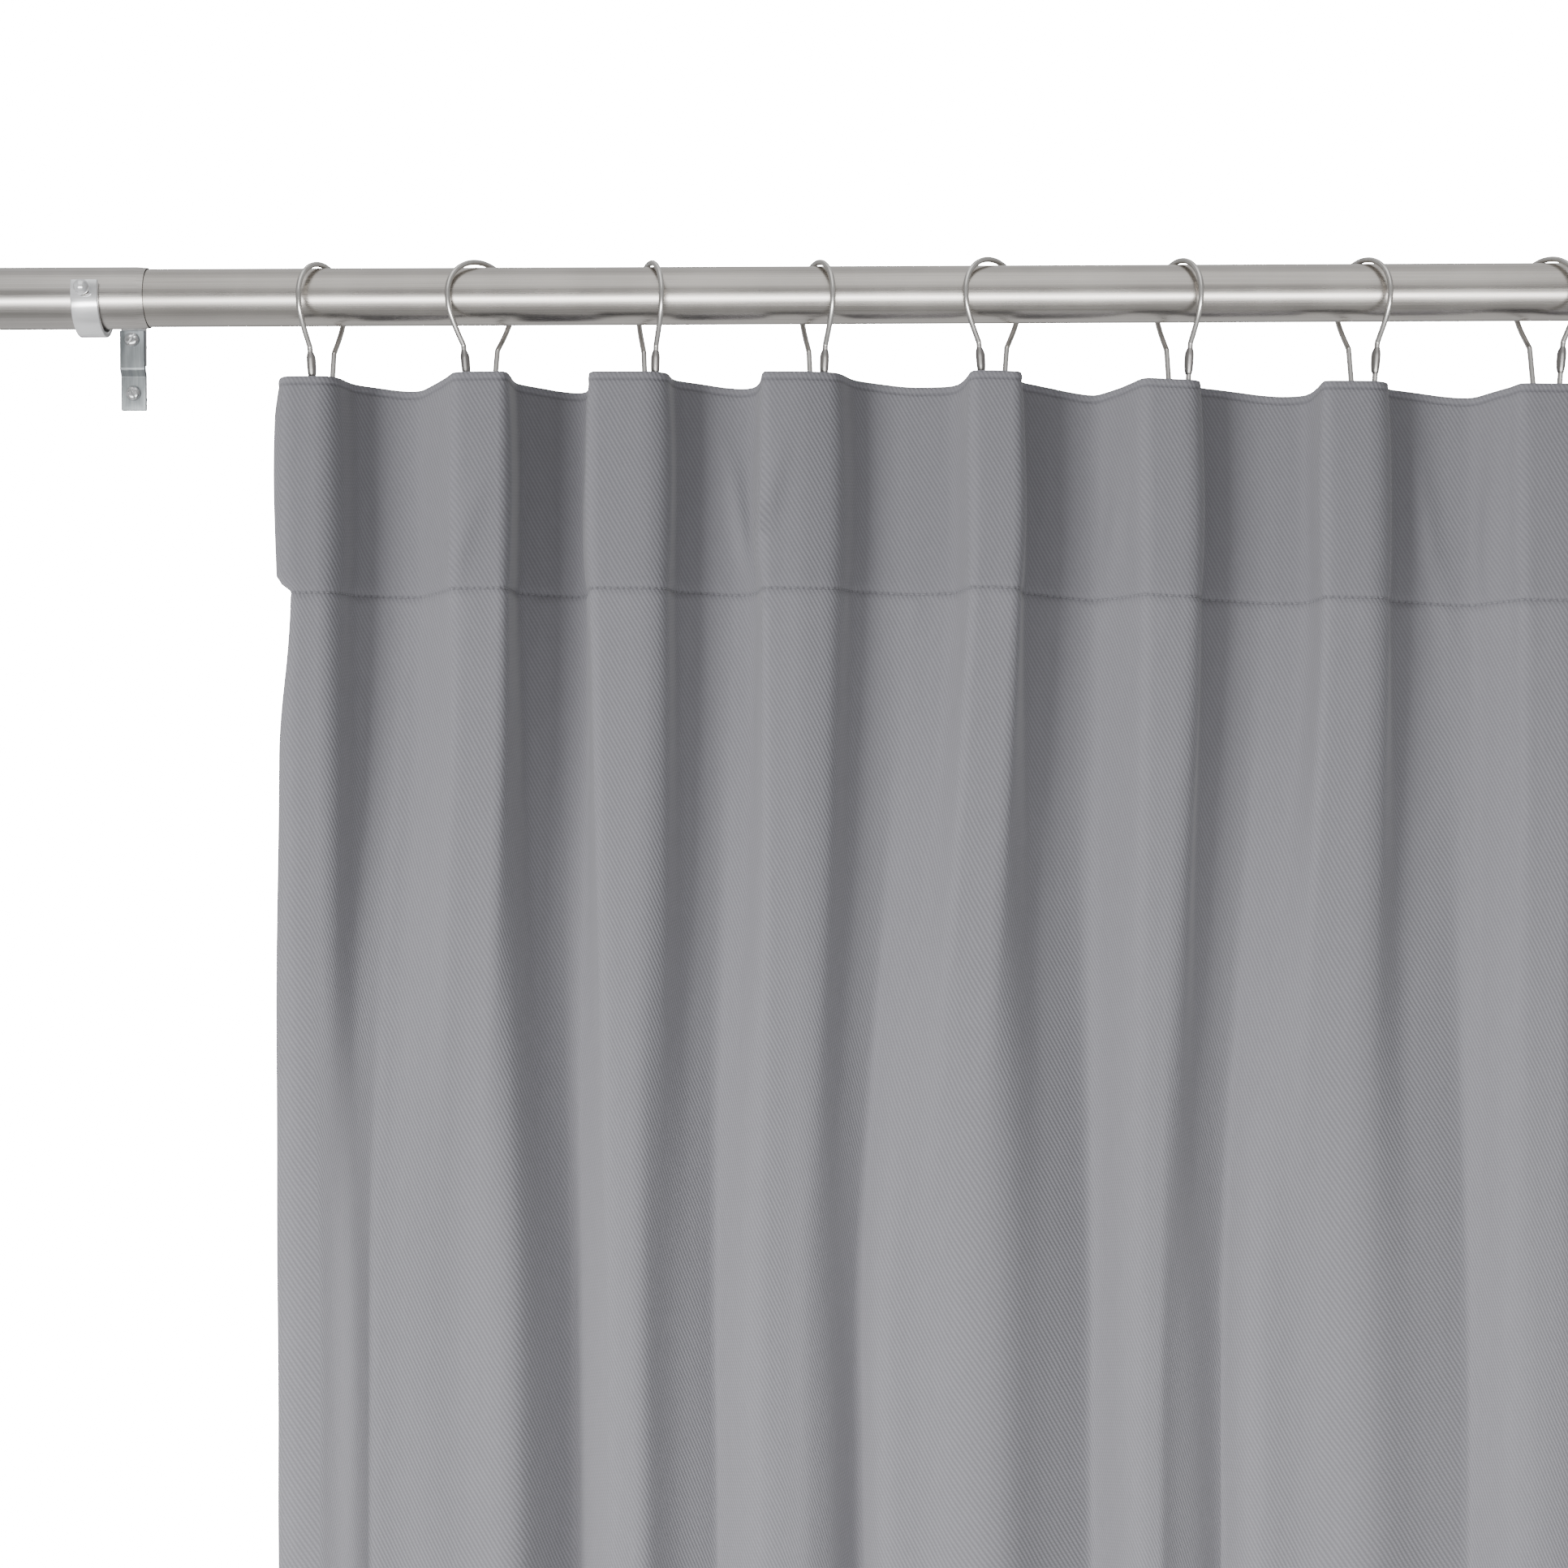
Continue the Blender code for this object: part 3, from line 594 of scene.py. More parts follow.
def strap(path: Array, width: float, thickness: float, edge: float, across: Array) -> Shell:
    """Flat strap along a path with eased edges and ends."""
    along = tangents(path)
    start = path[0] + along[0] * np.array([0.0, 0.3, 1.0])[:, None] * edge
    end = path[-1] - along[-1] * np.array([1.0, 0.3, 0.0])[:, None] * edge
    whole = np.vstack([start, path[1:-1], end])
    section = rounded_rectangle(width, thickness, edge)
    ones = np.ones(len(whole))
    shell = sweep(whole, section, across, ones)
    # each end is drawn in by the edge's rounding rather than scaled, so that it stays even all round
    count = len(section)
    inner = rounded_rectangle(width - 2 * edge * 0.9, thickness - 2 * edge * 0.9, edge * 0.1)
    middle = rounded_rectangle(width - 2 * edge * 0.3, thickness - 2 * edge * 0.3, edge * 0.7)
    along_all = tangents(whole)
    for row, shape in ((0, inner), (1, middle), (len(whole) - 2, middle), (len(whole) - 1, inner)):
        normal = np.cross(along_all[row], across)
        place = whole[row] + shape[:, :1] * np.asarray(across) + shape[:, 1:] * normal
        shell.points[row * count : (row + 1) * count] = place
    return shell


# ------------------------------------------------------------------ pieces


@dataclass(frozen=True)
class Squash:
    """How a soft piece gathers as the curtain is drawn."""

    joint: str
    anchor: Triple
    keep: float


class Workshop:
    """Turns shells into finished pieces and keeps one copy of each material."""

    materials: dict[str, bpy.types.Material] = {}

    @classmethod
    def material(cls, finish: Any) -> bpy.types.Material:
        """The finish's material, made once."""
        if finish.name not in cls.materials:
            cls.materials[finish.name] = finish.make()
        return cls.materials[finish.name]

    @classmethod
    def mesh(cls, name: str, shells: Iterable[Shell], smooth_deg: float) -> bpy.types.Object:
        """Makes one mesh object of the shells, smooth up to an angle."""
        shells = list(shells)
        starts = np.cumsum([0] + [len(s.points) for s in shells])
        points = np.vstack([s.points for s in shells])
        quads = np.vstack([s.quads + start for s, start in zip(shells, starts)])
        tris = np.vstack([s.tris + start for s, start in zip(shells, starts)])
        mesh = bpy.data.meshes.new(name)
        mesh.vertices.add(len(points))
        mesh.vertices.foreach_set("co", points.astype(np.float32).ravel())
        loops = np.concatenate([quads.ravel(), tris.ravel()]).astype(np.int32)
        sizes = np.concatenate([np.full(len(quads), 4), np.full(len(tris), 3)])
        mesh.loops.add(len(loops))
        mesh.loops.foreach_set("vertex_index", loops)
        mesh.polygons.add(len(sizes))
        mesh.polygons.foreach_set("loop_start", np.concatenate([[0], np.cumsum(sizes)[:-1]]).astype(np.int32))
        mesh.update(calc_edges=True)
        if shells[0].uv is not None:
            layer = mesh.uv_layers.new(name="cloth")
            layer.data.foreach_set("uv", np.vstack([s.uv for s in shells])[loops].astype(np.float32).ravel())
        mesh.validate()
        mesh.shade_smooth()
        mesh.set_sharp_from_angle(angle=math.radians(smooth_deg))
        made = bpy.data.objects.new(name, mesh)
        bpy.context.scene.collection.objects.link(made)
        return made

    @classmethod
    def piece(
        cls,
        name: str,
        shells: Iterable[Shell],
        finish: Any,
        slot: str,
        body: str,
        replaces: Sequence[str] = (),
        smooth_deg: float = 40.0,
        squash: Squash | None = None,
        cutters: Iterable[Shell] = (),
    ) -> bpy.types.Object:
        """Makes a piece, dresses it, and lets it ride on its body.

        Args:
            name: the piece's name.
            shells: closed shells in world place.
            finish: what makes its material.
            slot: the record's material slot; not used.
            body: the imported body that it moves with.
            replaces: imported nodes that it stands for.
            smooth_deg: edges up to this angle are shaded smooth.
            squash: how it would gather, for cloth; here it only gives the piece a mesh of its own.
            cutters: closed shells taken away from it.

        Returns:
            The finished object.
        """
        made = cls.mesh(name, shells, smooth_deg)
        for cutter_shell in cutters:
            cls._cut(made, cutter_shell, smooth_deg)
        made.data.materials.clear()
        made.data.materials.append(cls.material(finish))
        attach(made, body)
        if squash:
            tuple(squash.anchor)
            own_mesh(made)
        if replaces:
            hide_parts(*replaces)
        log.info("%s on %s: %d faces", name, body, len(made.data.polygons))
        return made

    @classmethod
    def _cut(cls, target: bpy.types.Object, shell: Shell, smooth_deg: float) -> None:
        """Takes a shell away from a piece with an exact Boolean and removes the cutter."""
        cutter = cls.mesh("cutter", [shell], smooth_deg)
        boolean = target.modifiers.new("cut", "BOOLEAN")
        boolean.operation = "DIFFERENCE"
        boolean.object = cutter
        boolean.solver = "EXACT"
        bpy.context.view_layer.update()
        graph = bpy.context.evaluated_depsgraph_get()
        result = bpy.data.meshes.new_from_object(target.evaluated_get(graph))
        target.modifiers.clear()
        target.data = result
        result.shade_smooth()
        result.set_sharp_from_angle(angle=math.radians(smooth_deg))
        bpy.data.objects.remove(cutter, do_unlink=True)


X_AXIS = np.array([1.0, 0.0, 0.0])
QUARTER = math.pi / 2


@dataclass
class Axis:
    """The rod's axis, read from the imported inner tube."""

    y: float
    z: float

    @classmethod
    def read(cls) -> Axis:
        """The middle of the inner tube's box."""
        low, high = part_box("rod_inner_tube")
        return cls((low.y + high.y) / 2, (low.z + high.z) / 2)


AXIS = Axis.read()


# ------------------------------------------------------------------ rod


@dataclass
class Rod:
    """Two telescoping tubes with a turned cap at each end."""

    wall: float = 0.65 * MM
    edge: float = 0.22 * MM
    mouth: float = 0.40 * MM
    mouth_length: float = 5.0 * MM
    sides: int = 128
    cap_rounding: float = 3.0 * MM
    cap_groove: float = 0.8 * MM
    cap_length: float = 14.0 * MM

    def tube(self, node: str) -> Shell:
        """A tube over a packed tube's place, its four rims eased by quarter circles.

        The sleeve's right end, where the inner tube slides in, narrows to its mouth.
        """
        low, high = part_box(node)
        radius, e = (high.z - low.z) / 2, self.edge
        bore = radius - self.wall
        out_left = arc((low.x + e, radius - e), e, 180, 90, 3)
        drawn, lip = (self.mouth, 0.1 * MM) if node == "rod_outer_tube" else (0.0, e)
        out_right = arc((high.x - lip, radius - drawn - lip), lip, 90, 0, 3)
        in_right = arc((high.x - lip, bore + lip), lip, 0, -90, 3)
        start = [[high.x - self.mouth_length, radius]] if drawn else np.empty((0, 2))
        in_left = arc((low.x + e, bore + e), e, 270, 180, 3)
        profile = np.vstack([out_left, start, out_right, in_right, in_left])
        return revolve(profile, self.sides, hollow=True).moved(np.eye(3), (0, AXIS.y, AXIS.z))

    def cap(self, node: str, outwards: int) -> Shell:
        """A cap with a rounded face, one turned groove and its spigot in the tube."""
        low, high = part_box(node)
        radius = (high.z - low.z) / 2
        inner_end, face = (low.x, high.x) if outwards > 0 else (high.x, low.x)
        shoulder = face - outwards * self.cap_length
        spigot = radius - 2.55 * MM
        groove = shoulder + outwards * self.cap_length * 0.35
        depth, e = self.cap_groove, self.edge

        def x(place: float, step: float) -> float:
            """A place that many metres nearer the face."""
            return place + outwards * step

        line = [(inner_end, 0), (inner_end, spigot - e), (x(inner_end, e), spigot), (shoulder, spigot)]
        line += [(shoulder, radius - e), (x(shoulder, e), radius)]
        line += [(x(groove, -e), radius), (groove, radius - e)]
        line += [(groove, radius - depth), (x(groove, depth), radius - depth), (x(groove, depth), radius - e)]
        line += [(x(groove, depth + e), radius)]
        bend = arc((self.cap_rounding, radius - self.cap_rounding), self.cap_rounding, 90, 180, 10)
        line += [(face - outwards * p, q) for p, q in bend]
        line += [(face, (radius - self.cap_rounding) / 2), (face, 0)]
        return revolve(line, self.sides).moved(np.eye(3), (0, AXIS.y, AXIS.z))

    def build(self) -> None:
        """Makes the four pieces of the rod."""
        pieces = (
            ("outer_sleeve", self.tube("rod_outer_tube"), SLEEVE_NICKEL, "rail", "rod_outer_tube"),
            ("inner_tube", self.tube("rod_inner_tube"), ROD_NICKEL, "inner_rod", "rod_inner_tube"),
            ("left_turned_cap", self.cap("end_cap_left", -1), ROD_NICKEL, "rail", "end_cap_left"),
            ("right_turned_cap", self.cap("end_cap_right", 1), ROD_NICKEL, "inner_rod", "end_cap_right"),
        )
        for name, shell, finish, body, node in pieces:
            Workshop.piece(name, [shell], finish, finish.slot, body, [node])


# ------------------------------------------------------------------ brackets


@dataclass
class Bracket:
    """A cradle strap on the wall, its cover plate, two wall screws and the ball-headed set screw."""

    side: str
    strap_width: float = 12.4 * MM
    thickness: float = 2.3 * MM
    edge: float = 0.45 * MM
    cradle: float = 14.55 * MM
    lip: float = 7.0 * MM
    arm_rise: float = 3.0 * MM
    projection: float = 80.0 * MM
    foot_drop: float = 18.0 * MM
    plate_top: float = 1.0 * MM
    plate_bottom: float = 40.0 * MM
    joggle: tuple[float, float] = (19.6 * MM, 3.4 * MM)
    screw_drops: tuple[float, float] = (6.8 * MM, 32.8 * MM)
    slot_degs: tuple[float, float] = (32.0, -24.0)
    head_radius: float = 3.7 * MM
    head_height: float = 2.4 * MM
    shank: float = 1.9 * MM
    hole: float = 2.2 * MM
    gap: float = 0.3 * MM
    ball_radius: float = 3.5 * MM
    set_rise: float = 1.6 * MM
    set_lower: float = 2.9 * MM
    set_hole: float = 2.3 * MM
    set_shank: float = 2.0 * MM

    def origin(self) -> Array:
        """The cradle's centre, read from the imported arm's box."""
        low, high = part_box(f"{self.side}_bracket_arm")
        return np.array([(low.x + high.x) / 2, AXIS.y, low.z + self.cradle + self.thickness])

    def bent(self, line: Array) -> Shell:
        """The strap bent along a line of (depth, height) points about the cradle's centre."""
        path = np.column_stack([np.zeros(len(line)), line])
        shell = strap(path, self.strap_width, self.thickness, self.edge, X_AXIS)
        return shell.moved(np.eye(3), self.origin())

    def arm(self) -> Shell:
        """Strap from the lip, half round the rod, along the arm and down the foot."""
        half = self.thickness / 2
        middle = self.cradle + half
        foot = self.projection - half
        corners = [(middle, 0), (middle, self.arm_rise), (foot, self.arm_rise), (foot, -self.foot_drop)]
        bends = rounded(corners, [3 * MM, 3 * MM], 8)
        lip = [(-middle, self.lip), (-middle, self.lip * 0.5)]
        return self.bent(np.vstack([lip, arc((0, 0), middle, 180, 360, 48), bends[1:]]))

    def plate(self) -> Shell:
        """Cover plate: over the foot, then stepped back onto the wall."""
        half = self.thickness / 2
        back = self.projection - half
        front = back - self.thickness - self.gap
        drop, run = self.joggle
        corners = [(front, -self.plate_top), (front, -drop), (back, -drop - run), (back, -self.plate_bottom)]
        return self.bent(rounded(corners, [1.6 * MM, 1.6 * MM], 7))

    def drill(self, height: float, depth: float, radius: float) -> Shell:
        """Cutter for a round hole along Y, centred at a depth behind the rod."""
        reach = 2.2 * self.thickness
        cutter = revolve([(-reach, 0), (-reach, radius), (reach, radius), (reach, 0)], 40)
        return cutter.moved(spin_z(QUARTER), self.origin() + (0, depth, height))

    def wall_screw(self, number: int) -> tuple[Shell, Shell]:
        """Round head, plain shank with thread-like grooves and a point, and the cutter of its slot."""
        node = f"{self.side}_wall_screw_{('upper', 'lower')[number]}"
        low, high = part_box(node)
        length = high.y - low.y - self.head_height
        dome = arc((0, 0), 1.0, 180, 95, 14)
        line = [(x * self.head_height, max(y, 0.0) ** 0.55 * self.head_radius) for x, y in dome]
        line += [(-0.12 * MM, self.head_radius), (0.0, self.head_radius - 0.15 * MM), (0.0, self.shank)]
        start, turn = 4 * MM, 1.3 * MM
        count = int((length - start - 5 * MM) / turn)
        crest = start + turn * np.repeat(np.arange(count), 2) + np.tile([0.0, turn / 2], count)
        depth = self.shank - np.tile([0.0, 0.45 * MM], count)
        line += list(zip(crest, depth))
        line += [(length - 5 * MM, self.shank - 0.1 * MM), (length, 0.0)]
        place = ((low.x + high.x) / 2, low.y + self.head_height, (low.z + high.z) / 2)
        screw = revolve(line, 40).moved(spin_z(QUARTER), place)
        wide, floor = 1.3 * self.head_radius, -self.head_height + 1.1 * MM
        box = rounded_rectangle(1.0 * MM, 2 * wide, 0.1 * MM)
        path = np.array([(-2 * self.head_height, 0, 0), (floor, 0, 0)])
        slot = sweep(path, box, np.array([0.0, 1.0, 0.0]), np.ones(2))
        turned = spin_z(QUARTER) @ spin_x(math.radians(self.slot_degs[number]))
        return screw, slot.moved(turned, place)

    def set_screw(self) -> Shell:
        """Ball, short neck and shank down to the rod."""
        low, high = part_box(f"{self.side}_set_screw")
        radius, shank, ease = self.ball_radius, self.set_shank, 0.4 * MM
        reach = math.degrees(math.asin(shank / radius)) + 6.0
        ball = arc((radius, 0), radius, 180, reach, 22)
        tip = high.y - low.y - 0.7 * MM
        neck = ball[-1, 0] + 0.5 * MM
        line = [*map(tuple, ball), (neck, shank), (tip - ease, shank), (tip, shank - ease), (tip, 0.0)]
        place = ((low.x + high.x) / 2, low.y, (low.z + high.z) / 2 - self.set_lower)
        return revolve(line, 48).moved(spin_z(QUARTER), place)

    def build(self) -> None:
        """Makes the five pieces of one bracket."""
        make, side = Workshop.piece, self.side
        half = self.thickness / 2
        foot = self.projection - half
        upper, lower = self.screw_drops
        lip_hole = self.drill(self.set_rise, -self.cradle - half, self.set_hole)
        holes, node = [lip_hole, self.drill(-upper, foot, self.hole)], f"{side}_bracket_arm"
        make(f"{side}_cradle_arm", [self.arm()], CHROME, CHROME.slot, "rail", [node], cutters=holes)
        upper_hole = self.drill(-upper, foot - self.thickness, self.hole)
        holes, node = [upper_hole, self.drill(-lower, foot, self.hole)], f"{side}_wall_plate"
        make(f"{side}_cover_plate", [self.plate()], ZINC, ZINC.slot, "rail", [node], cutters=holes)
        for number, word in enumerate(("upper", "lower")):
            screw, slot = self.wall_screw(number)
            name, node = f"{side}_{word}_slotted_screw", f"{side}_wall_screw_{word}"
            make(name, [screw], SCREW_ZINC, SCREW_ZINC.slot, "rail", [node], cutters=[slot])
        node = f"{side}_set_screw"
        make(f"{side}_ball_screw", [self.set_screw()], CHROME, CHROME.slot, node, [node])


# ------------------------------------------------------------------ rings


@dataclass(frozen=True)
class RingPlace:
    """Where one ring hangs and how far it is turned about the vertical."""

    number: int
    x: float
    z: float
    yaw: float

    @property
    def body(self) -> str:
        """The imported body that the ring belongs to."""
        return "curtain" if self.number == 1 else f"ring_{self.number}"

    def set(self, shell: Shell) -> Shell:
        """A shell in the ring's own frame, put in its place."""
        return shell.moved(spin_z(self.yaw), (self.x, AXIS.y, self.z))


def ring_places(foot: float, leg_end: float) -> list[RingPlace]:
    """Reads each ring's place and turn from the hinge of its sprung leg.

    The hinge lies `foot` in front of the ring's middle and `leg_end` below it, and its axis points
    along the ring's own -X.
    """
    joints = {joint["name"]: joint for joint in FRAME["joints"]}
    found = []
    for number in range(1, 10):
        joint = joints[f"ring_{number}_gate"]
        yaw = math.atan2(-joint["axis"][1], -joint["axis"][0])
        x, _, z = joint["pos_m"]
        found.append(RingPlace(number, x - foot * math.sin(yaw), z + leg_end, yaw))
    return found


@dataclass
class Ring:
    """A wire ring: round loop, neck, two legs, bottom bend, folded clasp and sprung leg."""

    wire: float = 1.28 * MM
    loop: float = 21.1 * MM
    loop_drop: float = 6.4 * MM
    oval_half: float = 20.6 * MM
    oval_rise: float = 16.4 * MM
    oval_z: float = -1.5 * MM
    neck_half: float = 10.8 * MM
    foot_half: float = 8.0 * MM
    leg: float = 22.5 * MM
    clasp_below_neck: float = 1.9 * MM
    clasp_length: float = 12.6 * MM
    clasp_wall: float = 0.45 * MM
    clasp_half: float = 1.95 * MM

    @property
    def neck_drop(self) -> float:
        """Depth of the neck: the loop's centre plus the height of its chord."""
        return self.loop_drop + math.sqrt(self.loop**2 - self.neck_half**2)

    @property
    def leg_end(self) -> float:
        """Depth at which the legs turn into the bottom bend."""
        return self.neck_drop + self.leg

    def leg_half(self, drop: Any) -> Any:
        """Half the space between the legs at a depth: a straight line from neck to foot."""
        return self.neck_half + (drop - self.neck_drop) / self.leg * (self.foot_half - self.neck_half)

    def body_wire(self) -> Shell:
        """Wire from the clasp over the rod, down the back leg and round the bottom to the hinge.

        The top is half an oval. Each shoulder is a cubic curve from its widest point that runs out
        straight to the neck, where the wire bends into the leg.
        """
        oval = arc((0, 0), 1.0, 180, 0, 64) * (self.oval_half, self.oval_rise) + (0, self.oval_z)
        t = np.linspace(0, 1, 25)[1:-3, None]
        start, end = np.array([self.oval_half, self.oval_z]), np.array([self.neck_half, -self.neck_drop])
        pull, run_out = start - (0, 8 * MM), end + (6.7 * MM, 10 * MM)
        shoulder = start * (1 - t) ** 3 + 3 * pull * t * (1 - t) ** 2
        shoulder = shoulder + 3 * run_out * t**2 * (1 - t) + end * t**3
        low = self.neck_drop + self.clasp_below_neck + 1.2 * MM
        kink = self.neck_drop + 1.7 * MM
        leg = (self.leg_half(kink), -kink)
        bend = rounded([tuple(shoulder[-1]), tuple(end), leg], [2.2 * MM], 8)
        mirror = np.array([-1.0, 1.0])
        down = np.linspace(kink, self.leg_end, 6)[1:]
        back = np.column_stack([self.leg_half(down), -down])
        bottom = arc((0, -self.leg_end), self.foot_half, 0, -180, 30)[1:]
        front = np.array([[-self.leg_half(low), -low]])
        left = [front, bend[::-1] * mirror, shoulder[-2::-1] * mirror]
        line = np.vstack([*left, oval, shoulder[:-1], bend, back, bottom])
        path = np.column_stack([np.zeros(len(line)), line])
        return round_wire(path, self.wire, X_AXIS, 16)

    def clasp(self) -> Shell:
        """Folded leaf round the leg's tip, open to the back.

        The section is a U whose half width grows from the wire's at the top to its full size after
        three tenths of its length, and narrows again to the bottom; its cheeks do the same.
        """

        def half_rounds(turns: Array, radius: Array) -> Array:
            """One half circle for each radius."""
            x, y = np.cos(turns)[None] * radius[:, None], np.sin(turns)[None] * radius[:, None]
            return np.stack([x, y], axis=2)

        share = np.linspace(0, 1, 19)
        drop = self.neck_drop + self.clasp_below_neck + share * self.clasp_length
        grow = np.sin(np.clip(share / 0.3, 0, 1) * QUARTER)
        fall = np.sqrt(np.clip(1 - np.clip((share - 0.45) / 0.55, 0, 1) ** 2.2, 0.0, 1))
        narrow = 1.15 * MM
        half = narrow + (self.clasp_half - narrow) * grow * fall
        cheek = (0.1 * MM) + 1.25 * MM * grow * fall
        angle = np.radians(np.linspace(180, 360, 13))
        inner_half = half - self.clasp_wall
        outer, inner = half_rounds(angle, half), half_rounds(angle[::-1], inner_half)
        left, right = -half[:, None], half[:, None]
        rim = cheek[:, None]
        lip_left = np.stack([left, rim], axis=2)
        lip_right = np.stack([right, rim], axis=2)
        in_right = np.stack([inner_half[:, None], rim], axis=2)
        in_left = np.stack([-inner_half[:, None], rim], axis=2)
        section = np.concatenate([lip_left, outer, lip_right, in_right, inner, in_left], axis=1)
        rows, count, _ = section.shape
        grid = np.empty((rows, count, 3))
        grid[..., 0] = section[..., 0]
        grid[..., 1] = section[..., 1] - self.leg_half(drop)[:, None]
        grid[..., 2] = -drop[:, None]
        faces = grid_quads(rows, count, False, True)
        half_count = count // 2
        strip = np.arange(half_count - 1)
        first = np.column_stack([strip, strip + 1, count - 2 - strip, count - 1 - strip])
        last = (first + (rows - 1) * count)[:, ::-1]
        return Shell(grid.reshape(-1, 3), np.vstack([faces, first, last])).outward()

    def sprung_leg(self) -> Shell:
        """Straight wire from the hinge up into the clasp."""
        top = self.neck_drop + self.clasp_below_neck + 3.6 * MM
        drop = np.linspace(self.leg_end, top, 10)
        path = np.column_stack([np.zeros(10), -self.leg_half(drop), -drop])
        return round_wire(path, self.wire, X_AXIS, 16)

    def build(self, places: Sequence[RingPlace]) -> None:
        """Makes every ring, its clasp and its sprung leg."""
        wire, clasp, leg = self.body_wire(), self.clasp(), self.sprung_leg()
        make, slot = Workshop.piece, RING_NICKEL.slot
        for place in places:
            n, body, gate = place.number, place.body, f"gate_{place.number}"
            make(f"ring_wire_{n}", [place.set(wire)], RING_NICKEL, slot, body, [f"ring_{n}"])
            # the clasp's material is the rings' nickel darkened with painted shade
            make(f"ring_clasp_{n}", [place.set(clasp)], SHADED_CLASP_NICKEL, slot, body, smooth_deg=50)
            make(f"ring_spring_leg_{n}", [place.set(leg)], RING_NICKEL, slot, gate, [f"ring_{gate}"])


# ------------------------------------------------------------------ cloth


def smooth(value: Array, low: float, high: float) -> Array:
    """Smooth step: 3t^2 - 2t^3 of how far the value is from low to high."""
    t = np.clip((value - low) / (high - low), 0, 1)
    return t * t * (3 - 2 * t)


@dataclass(frozen=True)
class Pleat:
    """One pleat seen from above, in millimetres.

    `head` and `low` are the left and right corners of its front, beside the ring, in the heading and
    in the hanging cloth. `shoulder` is how far the heading slopes on past the right corner before it
    turns back. `ease` is how far the two flanks lean out. `floor` is the depth behind the rod of the
    heading's valley after it. `trough` is the place beside the ring and the depth of the hanging
    cloth's valley after it. `drop` is how far its top edge hangs down.
    """

    head: tuple[float, float]
    shoulder: float
    low: tuple[float, float]
    ease: tuple[float, float]
    floor: float
    trough: tuple[float, float]
    drop: float


PLEATS = (
    Pleat((-15, 2.5), 4.5, (-14, 14), (0, 3), 10, (22, -12), 2.1),
    Pleat((-11, 12.5), 0.5, (-36, 15), (9, 0), 17, (40, 11), 0.3),
    Pleat((-27, 0.5), 6.8, (-20, -3), (0, 1), 10, (28, 6), 0.6),
    Pleat((-25, -5.0), 12.3, (-30, -6), (0, 5), 8, (17, 5), 0.9),
    Pleat((-11, 11.0), 0.5, (-52, 4), (1, 0), 13, (44, 11), 0.8),
    Pleat((-18, 3.5), 4.2, (-21, -10), (10, 0), 8, (18, 5), 5.4),
    Pleat((-21, 2.5), 5.6, (-53, 0), (0, 1), 7, (47, 3), 6.4),
    Pleat((-16, 8.0), 1.2, (-24, 7), (8, 1), 10, (29, 7), 8.0),
    Pleat((-14, 6.0), 1.0, (-29, -2), (5, 0), 0, (0, 0), 7.6),
)


def spline(controls: Array, place: Array) -> Array:
    """Points of a uniform cubic B-spline; place runs from 0 to one less than the controls."""
    padded = np.vstack([2 * controls[:1] - controls[1:2], controls, 2 * controls[-1:] - controls[-2:-1]])
    index = np.clip(place.astype(int), 0, len(controls) - 2)
    t = (place - index)[:, None]
    a, b, c, d = (padded[index + k] for k in range(4))
    weights = ((1 - t) ** 3, 3 * t**3 - 6 * t**2 + 4, -3 * t**3 + 3 * t**2 + 3 * t + 1, t**3)
    return sum(w * p for w, p in zip(weights, (a, b, c, d))) / 6


@dataclass
class FoldLine:
    """A line of folds seen from above, as spline controls with a few named places on it."""

    controls: Array
    anchors: Array

    def __post_init__(self) -> None:
        """Measures the line: distance along it at 6001 places."""
        self.place = np.linspace(0, len(self.controls) - 1 - 1e-9, 6001)
        run = np.linalg.norm(np.diff(spline(self.controls, self.place), axis=0), axis=1)
        self.reach = np.concatenate([[0], np.cumsum(run)])
        self.anchor_reach = np.interp(self.anchors, self.place, self.reach)

    @property
    def length(self) -> float:
        """Distance from one end of the line to the other."""
        return float(self.reach[-1])

    def at(self, reach: Array) -> Array:
        """Points at distances along the line."""
        return spline(self.controls, np.interp(reach, self.reach, self.place))


def heading_line(ring_x: Sequence[float], front: float = -14.6) -> FoldLine:
    """The heading: square pleats in front of the rings, with a flat valley behind between two."""
    points, anchors = [(ring_x[0] / MM - 19.0, -3.0), (ring_x[0] / MM - 18.6, -8.0)], [0]
    for i, (pleat, x) in enumerate(zip(PLEATS, ring_x)):
        left, right = x / MM + pleat.head[0], x / MM + pleat.head[1]
        points += [(left, front), (left + 1.5, front - 0.4)]
        anchors.append(len(points))
        points += [((left + right) / 2, front - 0.5), (right - 1.5, front - 0.4), (right, front)]
        right += pleat.shoulder
        points += [(right, front + 2.6 * min(1.0, pleat.shoulder / 4.0))]
        if i == len(PLEATS) - 1:
            break
        after = PLEATS[i + 1]
        step, floor = ring_x[i + 1] / MM + after.head[0], pleat.floor
        lean, next_lean = pleat.ease[1], after.ease[0]
        points += [(right + 1.0 + 0.4 * lean, front + 6), (right + 1.0 + lean, floor - 9)]
        points += [(right + 2.5 + 1.4 * lean, floor - 1), (right + 8 + 1.6 * lean, floor)]
        anchors.append(len(points))
        points += [((right + step) / 2, floor), (step - 9 - next_lean, floor - 0.5)]
        points += [(step - 3 - 1.4 * next_lean, floor - 3), (step - 1.0 - 0.8 * next_lean, floor - 12)]
        points += [(step - 0.6 - 0.3 * next_lean, front + 6)]
    points += [(right + 1.6, -9.0), (right + 2.0, -3.0)]
    return FoldLine(np.array(points) * MM, np.array([*anchors, len(points) - 1]))


